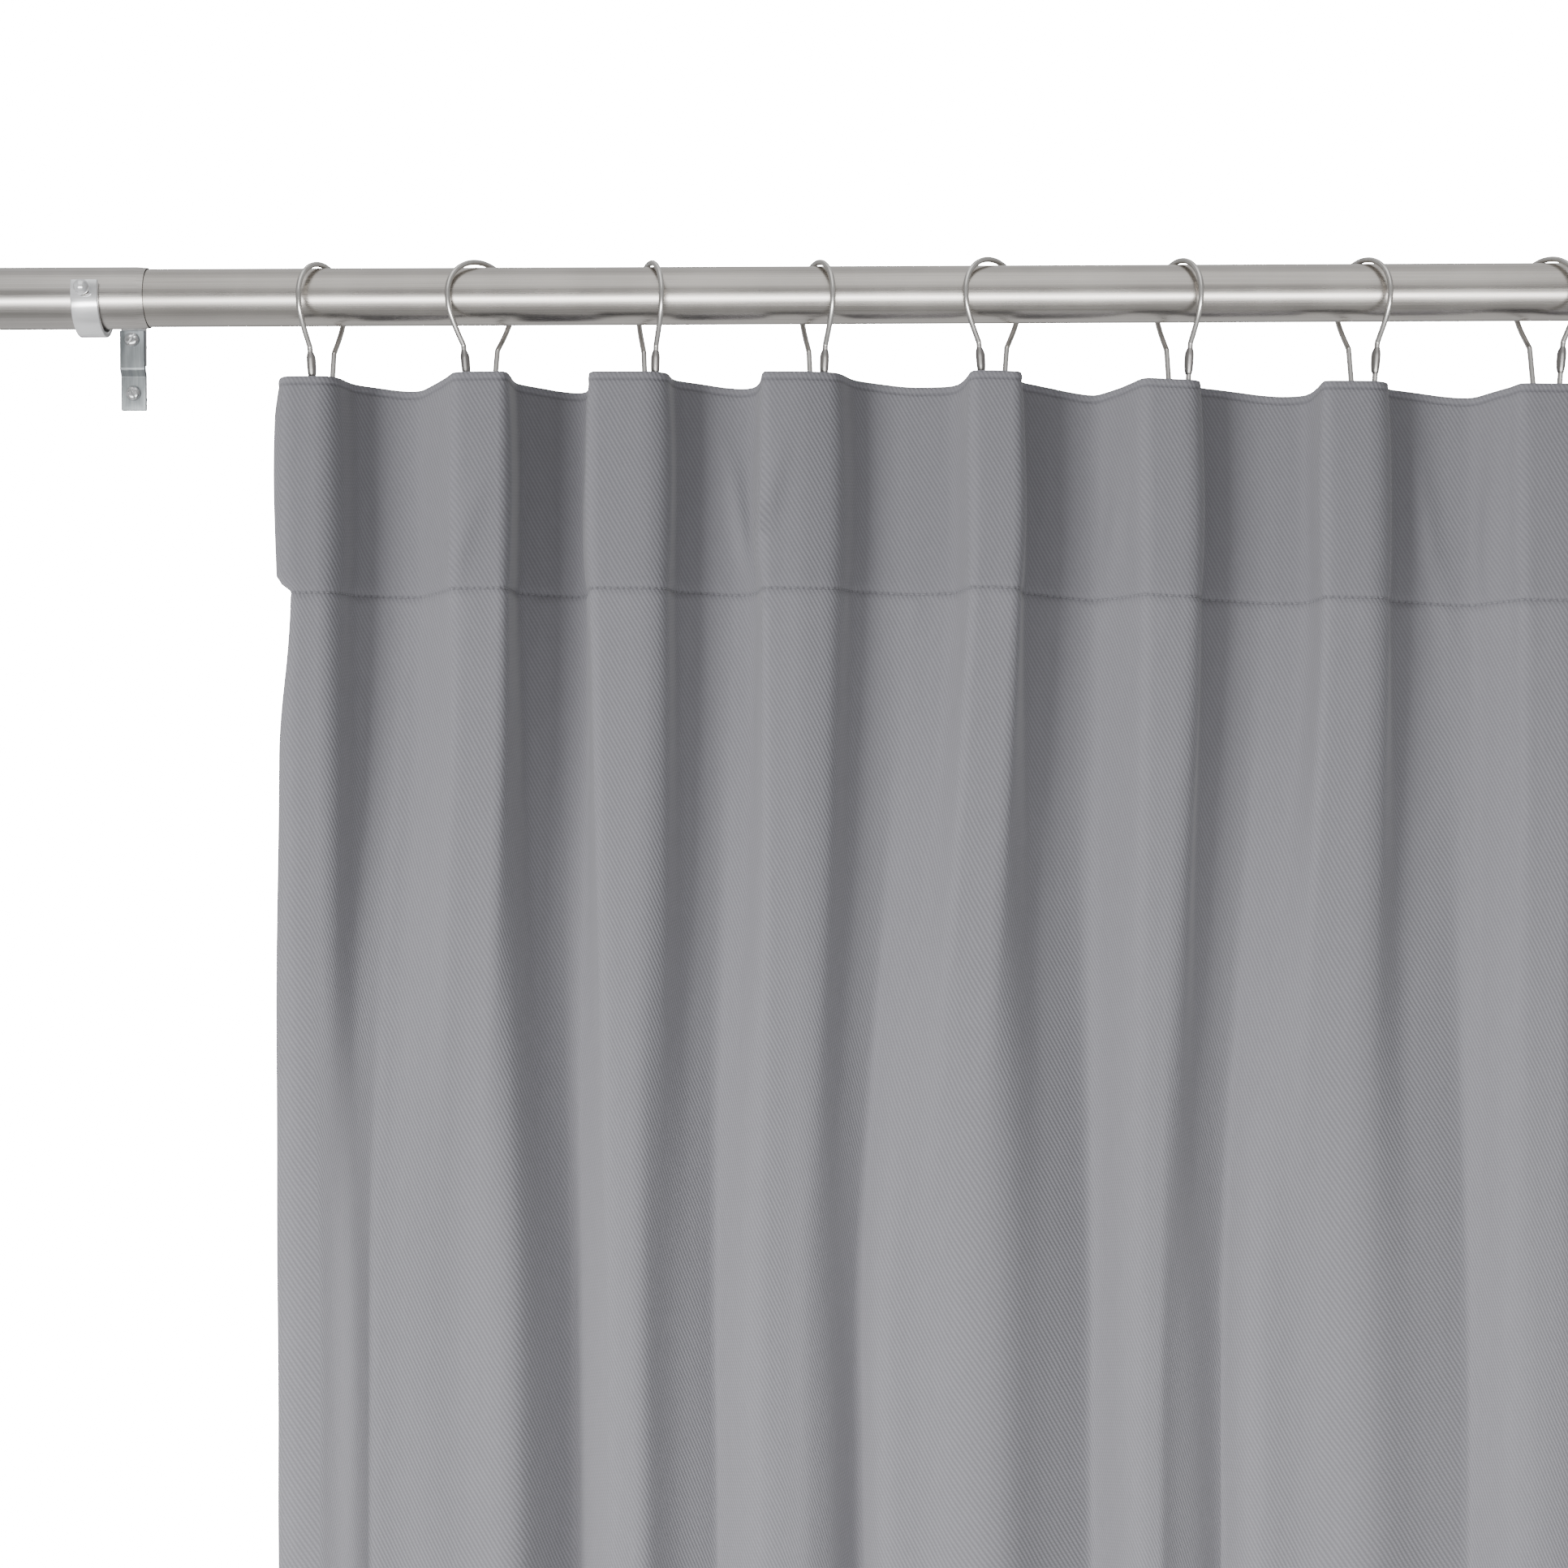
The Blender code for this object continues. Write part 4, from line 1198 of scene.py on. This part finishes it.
def hanging_line(ring_x: Sequence[float], front: float = -14.8) -> FoldLine:
    """The hanging cloth: broad round fronts that go back steeply on their right into a narrow trough."""
    points, anchors = [(ring_x[0] / MM - 20.5, -5.0), (ring_x[0] / MM - 20.0, -10.0)], [0]
    for i, (pleat, x) in enumerate(zip(PLEATS, ring_x)):
        left, right = x / MM + pleat.low[0], x / MM + pleat.low[1]
        points += [(left, front + 1.0), (left * 0.7 + right * 0.3, front)]
        anchors.append(len(points))
        points += [((left + right) / 2, front - 0.5), (left * 0.25 + right * 0.75, front - 1.5)]
        points += [(right, front - 1.0)]
        if i == len(PLEATS) - 1:
            break
        trough, depth = x / MM + pleat.trough[0], pleat.trough[1]
        after = ring_x[i + 1] / MM + PLEATS[i + 1].low[0]
        points += [(right + 0.30 * (trough - right), front + 0.28 * (depth - front))]
        points += [(right + 0.70 * (trough - right), front + 0.72 * (depth - front))]
        anchors.append(len(points))
        points += [(trough, depth), (trough + 0.12 * (after - trough), depth - 1.5)]
        points += [(after - 0.45 * (after - trough), front + 0.4 * (depth - front))]
    right = ring_x[-1] / MM + PLEATS[-1].low[1]
    points += [(right + 8, front + 4), (right + 13, -5.0)]
    return FoldLine(np.array(points) * MM, np.array([*anchors, len(points) - 1]))


@dataclass(frozen=True)
class Crease:
    """A soft ridge pressed into the cloth: place along and down it, half sizes, lean and height."""

    across: float
    down: float
    length: float
    width: float
    lean: float
    height: float


@dataclass
class Curtain:
    """One panel of twill with a turned-over heading, hems, stitching and a fabric loop at each ring."""

    places: Sequence[RingPlace]
    thickness: float = 1.2 * MM
    top_drop: float = 36.5 * MM
    length: float = 2134.0 * MM
    seam_drop: float = 99.0 * MM
    roll: float = 3.0 * MM
    sag: float = 5.6 * MM
    stitch: float = 3.0 * MM
    hem: float = 95.0 * MM
    side_hem: float = 26.0 * MM
    columns: int = 330
    creases: tuple[Crease, ...] = (
        Crease(0.318, 0.07, 0.034, 0.0042, 12, 0.00248),
        Crease(0.332, 0.074, 0.03, 0.0038, 4, 0.00201),
        Crease(0.346, 0.062, 0.028, 0.004, -14, 0.00186),
        Crease(0.12, 0.078, 0.026, 0.005, -18, 0.00186),
        Crease(0.215, 0.08, 0.024, 0.005, 14, 0.00155),
        Crease(0.76, 0.062, 0.034, 0.0055, 8, 0.00217),
        Crease(0.792, 0.07, 0.03, 0.005, -4, 0.00186),
        Crease(0.9, 0.06, 0.03, 0.005, 8, 0.00201),
        Crease(0.56, 0.072, 0.028, 0.005, -10, 0.00155),
    )

    def __post_init__(self) -> None:
        """Works out the two fold lines and what is shared by the pieces."""
        ring_x = [place.x for place in self.places]
        self.top_line, self.low_line = heading_line(ring_x), hanging_line(ring_x)
        self.width = self.top_line.length
        self.squash = Squash("curtain_draw", (ring_x[0], AXIS.y, AXIS.z), 0.36)
        self.drops = np.array([pleat.drop for pleat in PLEATS]) * MM
        log.info("heading %.4f m, hanging cloth %.4f m", self.width, self.low_line.length)

    def lines(self, across: Array) -> tuple[Array, Array]:
        """Both fold lines at distances along the heading.

        Between two anchors the lower line is followed in the same share as the upper one.
        """
        lower = np.interp(across, self.top_line.anchor_reach, self.low_line.anchor_reach)
        return self.top_line.at(across), self.low_line.at(lower)

    def relief(self, across: Array, down: Array) -> Array:
        """How far the cloth stands forward of its fold line.

        It is the sum of the heading's fullness, a half sine from the top to the seam; the pull of
        each seam, a narrow bell; puckers beside the long seam, three sines that fade in 15 mm; the
        creases, each a bell across and along itself; and slow waves in the hanging part.
        """
        full = 1.3 * MM * np.sin(np.pi * np.clip((down - 6 * MM) / (self.seam_drop - 6 * MM), 0, 1)) ** 0.8
        pull = -0.75 * MM * np.exp(-(((down - self.seam_drop) / (1.7 * MM)) ** 2))
        pull -= 0.40 * MM * np.exp(-(((down - self.roll - 0.4 * MM) / (0.8 * MM)) ** 2))
        from_seam = np.abs(down - self.seam_drop)
        waves = ((0.0137, 0.3), (0.0203, 1.9), (0.0331, 4.0))
        wave = sum(np.sin(2 * np.pi * across / pitch + phase) for pitch, phase in waves)
        below, fade = np.where(down > self.seam_drop, 1.0, 0.6), np.exp(-from_seam / (15 * MM))
        pucker = 0.20 * MM * wave * fade * below * smooth(from_seam, 0.5 * MM, 4 * MM)
        hang = smooth(down, 0.12, 0.45)
        slow = 0.9 * MM * np.sin(2 * np.pi * (across / 0.083 + down * 0.55) + 0.7)
        slow = slow + 0.7 * MM * np.sin(2 * np.pi * (across / 0.047 - down * 0.8) + 2.1)
        total = full + pull + pucker + slow * hang
        for crease in self.creases:
            lean = math.radians(crease.lean)
            a, b = across - crease.across, down - crease.down
            side = a * math.cos(lean) - b * math.sin(lean)
            run = a * math.sin(lean) + b * math.cos(lean)
            total = total + crease.height * np.exp(-((side / crease.width) ** 2) - (run / crease.length) ** 2)
        return total

    def surface(self, across: Array, down: Array, lift: Array | float = 0.0) -> tuple[Array, Array]:
        """Points and forward normals of the cloth.

        The fold line goes smoothly from the heading's to the hanging one between 50 and 460 mm
        down. A point lies on it, forward by the relief and `lift`, and its height is the top edge
        less its distance down the cloth, less a sag. The sag grows with the depth behind the rings
        and with the way from the ring on the left, until just before the next ring. It is less at
        the seam than at the top edge.

        Args:
            across: distance along the heading, any shape.
            down: distance down the cloth, same shape.
            lift: extra distance forward.

        Returns:
            Points and unit normals, each with a last axis of three.
        """
        shape = across.shape
        flat, flat_down = across.ravel(), down.ravel()
        step = 0.4 * MM
        blend = smooth(flat_down, 0.05, 0.46)[:, None]

        def mixed(place: Array) -> Array:
            top, low = self.lines(np.clip(place, 0, self.width))
            return top * (1 - blend) + low * blend

        here = mixed(flat)
        run = mixed(flat + step) - mixed(flat - step)
        run /= np.linalg.norm(run, axis=1)[:, None]
        normal = np.column_stack([run[:, 1], -run[:, 0]])
        behind = np.clip((here[:, 1] + 14.5 * MM) / (28 * MM), 0, 1)
        forward = self.relief(flat, flat_down) + np.broadcast_to(lift, shape).ravel()
        plan = here + normal * forward[:, None]
        ring_x = np.array([place.x for place in self.places])
        level = np.interp(here[:, 0], ring_x, self.drops)
        along = np.interp(here[:, 0], ring_x, np.arange(len(ring_x))) % 1.0
        at_ring, between = 0.15, 0.85
        hollow = at_ring + between * smooth(along, 0.10, 0.60) * (1 - smooth(along, 0.90, 1.0))
        slack = self.sag * behind * hollow * (1 - 0.60 * smooth(flat_down, 0.0, self.seam_drop)) + level
        z = AXIS.z - self.top_drop - flat_down - slack * (1 - smooth(flat_down, 0.3, 1.8))
        plan[:, 0] += self.sway(here[:, 0], flat_down)
        plan[:, 0] += self.side_pull(flat, flat_down) - self.side_pull(self.width - flat, flat_down)
        corner = 3.5 * MM
        for edge in (flat, self.width - flat):
            inside = np.clip(corner - edge, 0, corner)
            z -= (corner - np.sqrt(corner**2 - inside**2)) * (1 - smooth(flat_down, 0, 10 * MM))
        points = np.column_stack([plan[:, 0], plan[:, 1] + AXIS.y, z])
        normals = np.column_stack([normal, np.zeros(len(z))])
        return points.reshape(*shape, 3), normals.reshape(*shape, 3)

    def sway(self, x: Array, down: Array) -> Array:
        """How far the folds wander sideways: two waves down the cloth whose phase changes along it.

        Both fade out above the rings' lower ends, where the heading is held.
        """
        first = 0.35 * MM * np.sin(2 * np.pi * (down / 0.31 - x / 0.46) + 0.6)
        second = 0.12 * MM * np.sin(2 * np.pi * (down / 0.128 + x / 0.29) + 2.0)
        return (first + second) * smooth(down, 0.022, 0.07)

    def side_pull(self, edge: Array, down: Array) -> Array:
        """How far a side edge is drawn in: it stands out along the heading and tucks in at the seam."""
        tuck = 5.2 * MM * smooth(down, self.seam_drop - 8 * MM, self.seam_drop)
        tuck = tuck * (1 - smooth(down, self.seam_drop + 2 * MM, self.seam_drop + 75 * MM))
        bulge = -1.2 * MM * smooth(down, 2 * MM, 18 * MM)
        bulge = bulge * (1 - smooth(down, self.seam_drop - 6 * MM, self.seam_drop))
        return (tuck + bulge) * np.exp(-((edge / (13 * MM)) ** 2))

    def rows(self) -> Array:
        """Distances down the cloth of its rows: close at the top edge and the seams, wide below."""
        top = np.array([0, 0.35, 0.9, 1.8, 2.6, 3.1, 3.5, 4.2, 5.5]) * MM
        head = np.linspace(8 * MM, self.seam_drop - 4.5 * MM, 24)
        near = self.seam_drop + np.array([-3, -2, -1.2, -0.6, 0, 0.6, 1.2, 2, 3, 4.5]) * MM
        below = self.seam_drop + np.linspace(7 * MM, 120 * MM, 26)
        hang = np.linspace(self.seam_drop + 140 * MM, self.length - self.hem - 12 * MM, 76)
        hem = self.length - self.hem + np.array([-4, -1, -0.3, 0.3, 1, 4, 20, 45, 70, 88, 93, 94.4, 95]) * MM
        return np.concatenate([top, head, near, below, hang, hem])

    def column_places(self) -> Array:
        """Distances across the cloth of its columns, even but for the side edges and side hems."""
        edge = np.array([0, 0.3, 0.8, 1.6]) * MM
        side = self.side_hem + np.array([-0.3, 0.3]) * MM
        even = np.linspace(3 * MM, self.width - 3 * MM, self.columns)
        to_hem = np.minimum(np.abs(even - self.side_hem), np.abs(self.width - even - self.side_hem))
        clear = even[to_hem > 1.4 * MM]
        return np.sort(np.concatenate([edge, side, self.width - edge, self.width - side, clear]))

    def two_sided(self, front: Array, back: Array, across: Array, down: Array) -> Shell:
        """Closed shell of a front and a back grid joined round the rim.

        Args:
            front: points of the front, row by row.
            back: points of the back, matching the front's.
            across: distance of each along the heading.
            down: distance of each down the cloth.

        Returns:
            The shell, with the two distances as its UV map.
        """
        rows, columns = down.shape
        size = rows * columns
        face = grid_quads(rows, columns)
        rims = [np.arange(columns), size - columns + np.arange(columns)[::-1]]
        rims += [np.arange(rows)[::-1] * columns, np.arange(rows) * columns + columns - 1]
        joins = [np.column_stack([r[:-1], r[1:], r[1:] + size, r[:-1] + size]) for r in rims]
        points = np.vstack([front.reshape(-1, 3), back.reshape(-1, 3)])
        quads = np.vstack([face, face[:, ::-1] + size, *joins])
        uv = np.column_stack([across.ravel(), down.ravel()])
        return Shell(points, quads, uv=np.vstack([uv, uv])).outward()

    def panel_shell(self) -> Shell:
        """The cloth as one closed shell.

        Its back stands off by one thickness, and by two where it is doubled: at the rolled top
        edge, the side hems and the bottom hem. Both sides draw together at the edges.
        """
        down, across = np.meshgrid(self.rows(), self.column_places(), indexing="ij")
        half = self.thickness / 2
        edge = np.minimum(across, self.width - across)
        rim = 0.35 + 0.65 * np.sqrt(smooth(edge, 0, 1.6 * MM))
        rim = rim * (0.35 + 0.65 * np.sqrt(smooth(down, 0, 1.8 * MM)))
        rim = rim * (0.35 + 0.65 * np.sqrt(smooth(self.length - down, 0, 1.6 * MM)))
        turn, bottom = 0.3 * MM, self.length - self.hem
        rolled = 1 - smooth(down, 2.6 * MM, 3.1 * MM)
        at_side = 1 - smooth(edge, self.side_hem - turn, self.side_hem + turn)
        doubled = np.maximum(np.maximum(rolled, at_side), smooth(down, bottom - turn, bottom + turn))
        middle, normal = self.surface(across, down)
        front = middle + normal * (half * rim)[..., None]
        back = middle - normal * ((half + doubled * 1.25 * MM) * rim)[..., None]
        return self.two_sided(front, back, across, down)

    def band_shell(self) -> Shell:
        """The turned-over heading behind the panel, from the rolled edge down to the seam."""
        at_edge, wide = np.array([3.2, 3.5, 4.2]), self.width / MM
        even = np.linspace(6, wide - 6, 250)
        columns = np.concatenate([at_edge, even, wide - at_edge[::-1]]) * MM
        at_seam = [97.5, 98.4, 99, 99.6, 100.6, 101.2, 101.5]
        rows = np.concatenate([[3.3, 3.5, 4.0], np.linspace(6, 96, 24), at_seam]) * MM
        down, across = np.meshgrid(rows, columns, indexing="ij")
        edge = np.minimum(across - columns[0], columns[-1] - across)
        rim = (0.4 + 0.6 * smooth(edge, 0, 0.9 * MM)) * (0.4 + 0.6 * smooth(rows[-1] - down, 0, 0.8 * MM))
        pinch = np.exp(-(((down - self.seam_drop) / (1.5 * MM)) ** 2))
        middle, normal = self.surface(across, down)
        near = self.thickness / 2 + 0.1 * MM
        front = middle - normal * near
        back = middle - normal * (near + (1.15 * MM - 0.45 * MM * pinch) * rim)[..., None]
        return self.two_sided(front, back, across, down)

    def stitches(self, across: Array, down: Array, lift: float) -> Shell:
        """Short threads lying on the cloth, each a six-sided capsule along its seam.

        Args:
            across: middle of each stitch along the heading.
            down: middle of each stitch down the cloth.
            lift: distance of the thread's middle forward of the cloth's middle.

        Returns:
            All capsules as one shell.
        """
        reach, radius = self.stitch * 0.36, 0.24 * MM
        share = np.array([-1.0, -0.62, 0.0, 0.62, 1.0])
        bend = np.array([-0.30, 0.0, 0.12, 0.0, -0.30]) * MM
        thick = np.array([0.35, 0.9, 1.0, 0.9, 0.35])
        side = share[None] * reach
        centre, normal = self.surface(across[:, None] + side, down[:, None] + 0 * side, lift + bend[None])
        along = np.gradient(centre, axis=1)
        along /= np.linalg.norm(along, axis=2)[..., None]
        other = np.cross(along, normal)
        angle = 2 * np.pi * np.arange(6) / 6
        ring = np.cos(angle)[:, None] * normal[:, :, None] + np.sin(angle)[:, None] * other[:, :, None]
        grid = centre[:, :, None] + ring * (radius * thick)[None, :, None, None]
        count, rows, sides, _ = grid.shape
        poles = centre[:, [0, -1]] + along[:, [0, -1]] * np.array([-0.5, 0.5])[None, :, None] * radius
        points = np.concatenate([grid.reshape(count, -1, 3), poles], axis=1)
        per = rows * sides + 2
        base = grid_quads(rows, sides, False, True)
        here = np.arange(sides)
        after = (here + 1) % sides
        last = (rows - 1) * sides
        first_cap = np.column_stack([np.full(sides, per - 2), here, after])
        last_cap = np.column_stack([np.full(sides, per - 1), last + after, last + here])
        caps = np.vstack([first_cap, last_cap])
        offset = (np.arange(count) * per)[:, None, None]
        one = Shell(points[0], base, caps)
        if one.volume() < 0:
            base, caps = base[:, ::-1], caps[:, ::-1]
        quads, tris = (base[None] + offset).reshape(-1, 4), (caps[None] + offset).reshape(-1, 3)
        return Shell(points.reshape(-1, 3), quads, tris)

    def loop_shells(self, place: RingPlace, pleat: Pleat) -> list[Shell]:
        """The fabric loop behind a pleat: a soft strap bowed back between its two sewn feet.

        It is just wide enough for the ring's front leg, which stands off the middle by the sine of
        the ring's turn, and it is kept within the pleat's corners.
        """
        inner = 8.3 * MM * abs(math.sin(place.yaw)) + 3.2 * MM
        outer, crown = inner + 1.8 * MM, inner - 2.6 * MM
        left, right = pleat.head[0] * MM + outer + 1 * MM, (pleat.head[1] + pleat.shoulder - 1.0) * MM - outer
        middle = min(max(0.0, left), right)
        x = np.linspace(-1, 1, 41) * outer + middle
        line = self.top_line.at(self.top_line.reach)
        front = line[(line[:, 1] < -10.5 * MM) & (np.abs(line[:, 0] - place.x) < 34 * MM)]
        sewn = np.interp(x + place.x, front[:, 0], front[:, 1]) + 2.55 * MM
        y = sewn + (0.05 * MM - sewn) * (1 - smooth(np.abs(x - middle), crown, inner))
        low, height, half = -53.6 * MM, 9.0 * MM, 0.45 * MM
        place = RingPlace(place.number, place.x, place.z, 0.0)
        path = np.column_stack([x, y, np.full(41, low + height / 2)])
        section = rounded_rectangle(height, 2 * half, 0.4 * MM)
        upright = np.array([0.0, 0.0, 1.0])
        shells = [place.set(sweep(path, section, upright, np.concatenate([[0.9], np.ones(39), [0.9]])))]
        for near, far in ((0, 3), (37, 40)):
            for row in (0.2, 0.5, 0.8):
                ends = path[[near, far]] + (0, half + 0.02 * MM, height * (row - 0.5))
                shells.append(place.set(round_wire(ends, 0.22 * MM, upright, 6)))
        return shells

    def build(self) -> None:
        """Makes the panel, the band, the stitching and the loops."""
        long_seam = Seam(self.seam_drop, self.stitch)
        hem_seam = Seam(self.length - self.hem, self.stitch)
        twill = Twill(seams=(Seam(self.roll + 0.4 * MM, 0.0), long_seam, hem_seam))
        band_twill = Twill(name="turned_over_twill", seams=(long_seam,))
        thread = Weave("seam_thread", (0.15, 0.149, 0.162), (0.25, 0.249, 0.266), 0.35 * MM)
        tape = Weave("loop_cotton", (0.34, 0.34, 0.36), (0.48, 0.48, 0.50))
        make, cloth, cotton, body = Workshop.piece, "curtain_twill", "heading_cotton", "curtain"
        shells, nodes = [self.panel_shell()], ["curtain_panel"]
        panel = make("twill_panel", shells, twill, cloth, body, nodes, 60, self.squash)
        shells, nodes = [self.band_shell()], ["heading_tape"]
        band = make("turned_over_heading", shells, band_twill, cloth, body, nodes, 60, self.squash)
        even = np.arange(5 * MM, self.width - 4 * MM, self.stitch)
        seam = np.full(len(even), self.seam_drop)
        hem = np.full(len(even), self.length - self.hem)
        front = self.thickness / 2 + 0.02 * MM
        behind = -(self.thickness / 2 + 0.1 * MM + 0.72 * MM)
        shells = [self.stitches(even, seam, lift) for lift in (front, behind)]
        heading_threads = make("heading_stitches", shells, thread, cloth, body, squash=self.squash)
        shells = [self.stitches(even, hem, front)]
        hem_threads = make("hem_stitches", shells, thread, cloth, body, squash=self.squash)
        for place, pleat in zip(self.places, PLEATS):
            squash = Squash("curtain_draw", (place.x, AXIS.y, AXIS.z), self.squash.keep)
            name, nodes = f"ring_loop_{place.number}", [f"heading_loop_{place.number}"]
            shells = self.loop_shells(place, pleat)
            make(name, shells, tape, cotton, place.body, nodes, 50, squash)


# ------------------------------------------------------------------ studio


@dataclass
class Studio:
    """Floor, soft light and the camera."""

    floor_z: float = -2.168
    camera_place: Triple = (0.319, -1.330, -0.1997)
    view_width: float = 0.726
    view_distance: float = 1.25
    strength: float = 4.0
    roll_deg: float = 0.25
    behind: float = 0.20
    behind_level: float = 0.06
    beside: float = 0.10
    soft_left: float = 0.165
    soft_right: float = 0.11
    bands: tuple[tuple[float, float], ...] = (
        (0.00, 0.15),
        (0.01, 0.10),
        (0.05, 0.11),
        (0.12, 0.17),
        (0.20, 0.30),
        (0.26, 0.60),
        (0.315, 3.40),
        (0.345, 3.40),
        (0.41, 0.55),
        (0.49, 0.18),
        (0.58, 0.12),
        (0.66, 0.16),
        (0.74, 0.30),
        (0.88, 0.34),
        (1.00, 0.32),
    )

    def floor(self) -> None:
        """A wide plain pale floor."""
        mesh = bpy.data.meshes.new("floor")
        half, signs = 4.0, ((-1, -1), (1, -1), (1, 1), (-1, 1))
        mesh.from_pydata([(x * half, y * half, self.floor_z) for x, y in signs], [], [(0, 1, 2, 3)])
        floor = bpy.data.objects.new("floor", mesh)
        bpy.context.scene.collection.objects.link(floor)
        dressing = Dressing("pale_floor", Base_Color=(0.82, 0.82, 0.82), Roughness=0.7)
        mesh.materials.append(dressing.material)
        floor.visible_glossy = False

    def lamp(self, name: str, place: Triple, aim: Triple, size: tuple[float, float], watts: float) -> None:
        """A soft rectangular light that faces a point."""
        data = bpy.data.lights.new(name, "AREA")
        data.shape = "RECTANGLE"
        data.size, data.size_y = size
        data.energy = watts
        lamp = bpy.data.objects.new(name, data)
        lamp.location = place
        run = np.subtract(aim, place)
        pitch = math.atan2(math.hypot(run[0], run[1]), -run[2])
        lamp.rotation_euler = (pitch, 0.0, math.atan2(run[1], run[0]) - QUARTER)
        lamp.visible_glossy = False
        bpy.context.scene.collection.objects.link(lamp)

    def sky(self) -> None:
        """Studio surround: white behind the object, and bands of light and dark in front of it.

        Straight views see plain white. Reflections see a ramp over the height of their direction,
        with a bright band a little below level. Soft light is an even grey, brighter on the left.
        """
        world = bpy.data.worlds.new("studio")
        bpy.context.scene.world = world
        world.use_nodes = True
        graph = Graph(world.node_tree)
        world.node_tree.nodes.clear()
        direction = graph.node("ShaderNodeTexCoord", {}, {}, "Generated")
        side, depth, height = graph.split(direction)
        stops = [(place, (tone, tone, tone * 0.99)) for place, tone in self.bands]
        front = graph.node("ShaderNodeValToRGB", {"stops": stops}, {0: height * 0.5 + 0.5}, "Color")
        back = graph.mixed(height.size().step(0.15, 0.60), (self.behind_level,) * 3, (self.behind,) * 3)
        around = graph.mixed(depth.step(-0.30, 0.15), front, back)
        mirrored = graph.mixed(side.size().step(0.28, 0.62), around, (self.beside,) * 3)
        soft = graph.mixed(side.step(-0.9, 0.9), (self.soft_left,) * 3, (self.soft_right,) * 3)
        path = world.node_tree.nodes.new("ShaderNodeLightPath")
        glossy = Socket(graph, path.outputs["Is Glossy Ray"])
        straight = Socket(graph, path.outputs["Is Camera Ray"])
        seen = graph.mixed(glossy, soft, mirrored)
        surround = graph.node("ShaderNodeBackground", {}, {"Color": seen, "Strength": self.strength})
        white = graph.node("ShaderNodeBackground", {}, {"Color": (1.0, 1.0, 1.0), "Strength": 30.0})
        both = graph.node("ShaderNodeMixShader", {}, {0: straight, 1: surround, 2: white})
        output = world.node_tree.nodes.new("ShaderNodeOutputWorld")
        graph.feed(output.inputs["Surface"], both)

    def camera(self) -> None:
        """Level camera in front of the rod, a little below it."""
        data = bpy.data.cameras.new("camera")
        data.angle = 2 * math.atan(self.view_width / 2 / self.view_distance)
        data.clip_start = 0.01
        camera = bpy.data.objects.new("camera", data)
        camera.location = self.camera_place
        camera.rotation_euler = (QUARTER, math.radians(self.roll_deg), 0.0)
        bpy.context.scene.collection.objects.link(camera)
        bpy.context.scene.camera = camera

    def build(self) -> None:
        """Sets up everything that is not part of the object."""
        self.camera()
        self.floor()
        self.sky()
        self.lamp("key_light", place=(-2.85, -3.0, -0.2), aim=(0.4, 0.0, -0.7), size=(1.6, 1.6), watts=222.0)
        self.lamp("fill_light", place=(0.9, -1.9, -1.6), aim=(0.5, 0.0, -1.2), size=(1.6, 1.2), watts=25.0)


def main() -> None:
    """Builds every sub-assembly in order."""
    logging.basicConfig(level=logging.INFO, format="%(name)s: %(message)s")
    Studio().build()
    Rod().build()
    Bracket("left").build()
    Bracket("right").build()
    ring = Ring()
    places = ring_places(ring.foot_half, ring.leg_end)
    ring.build(places)
    Curtain(places).build()


if __name__ == "__main__":
    main()
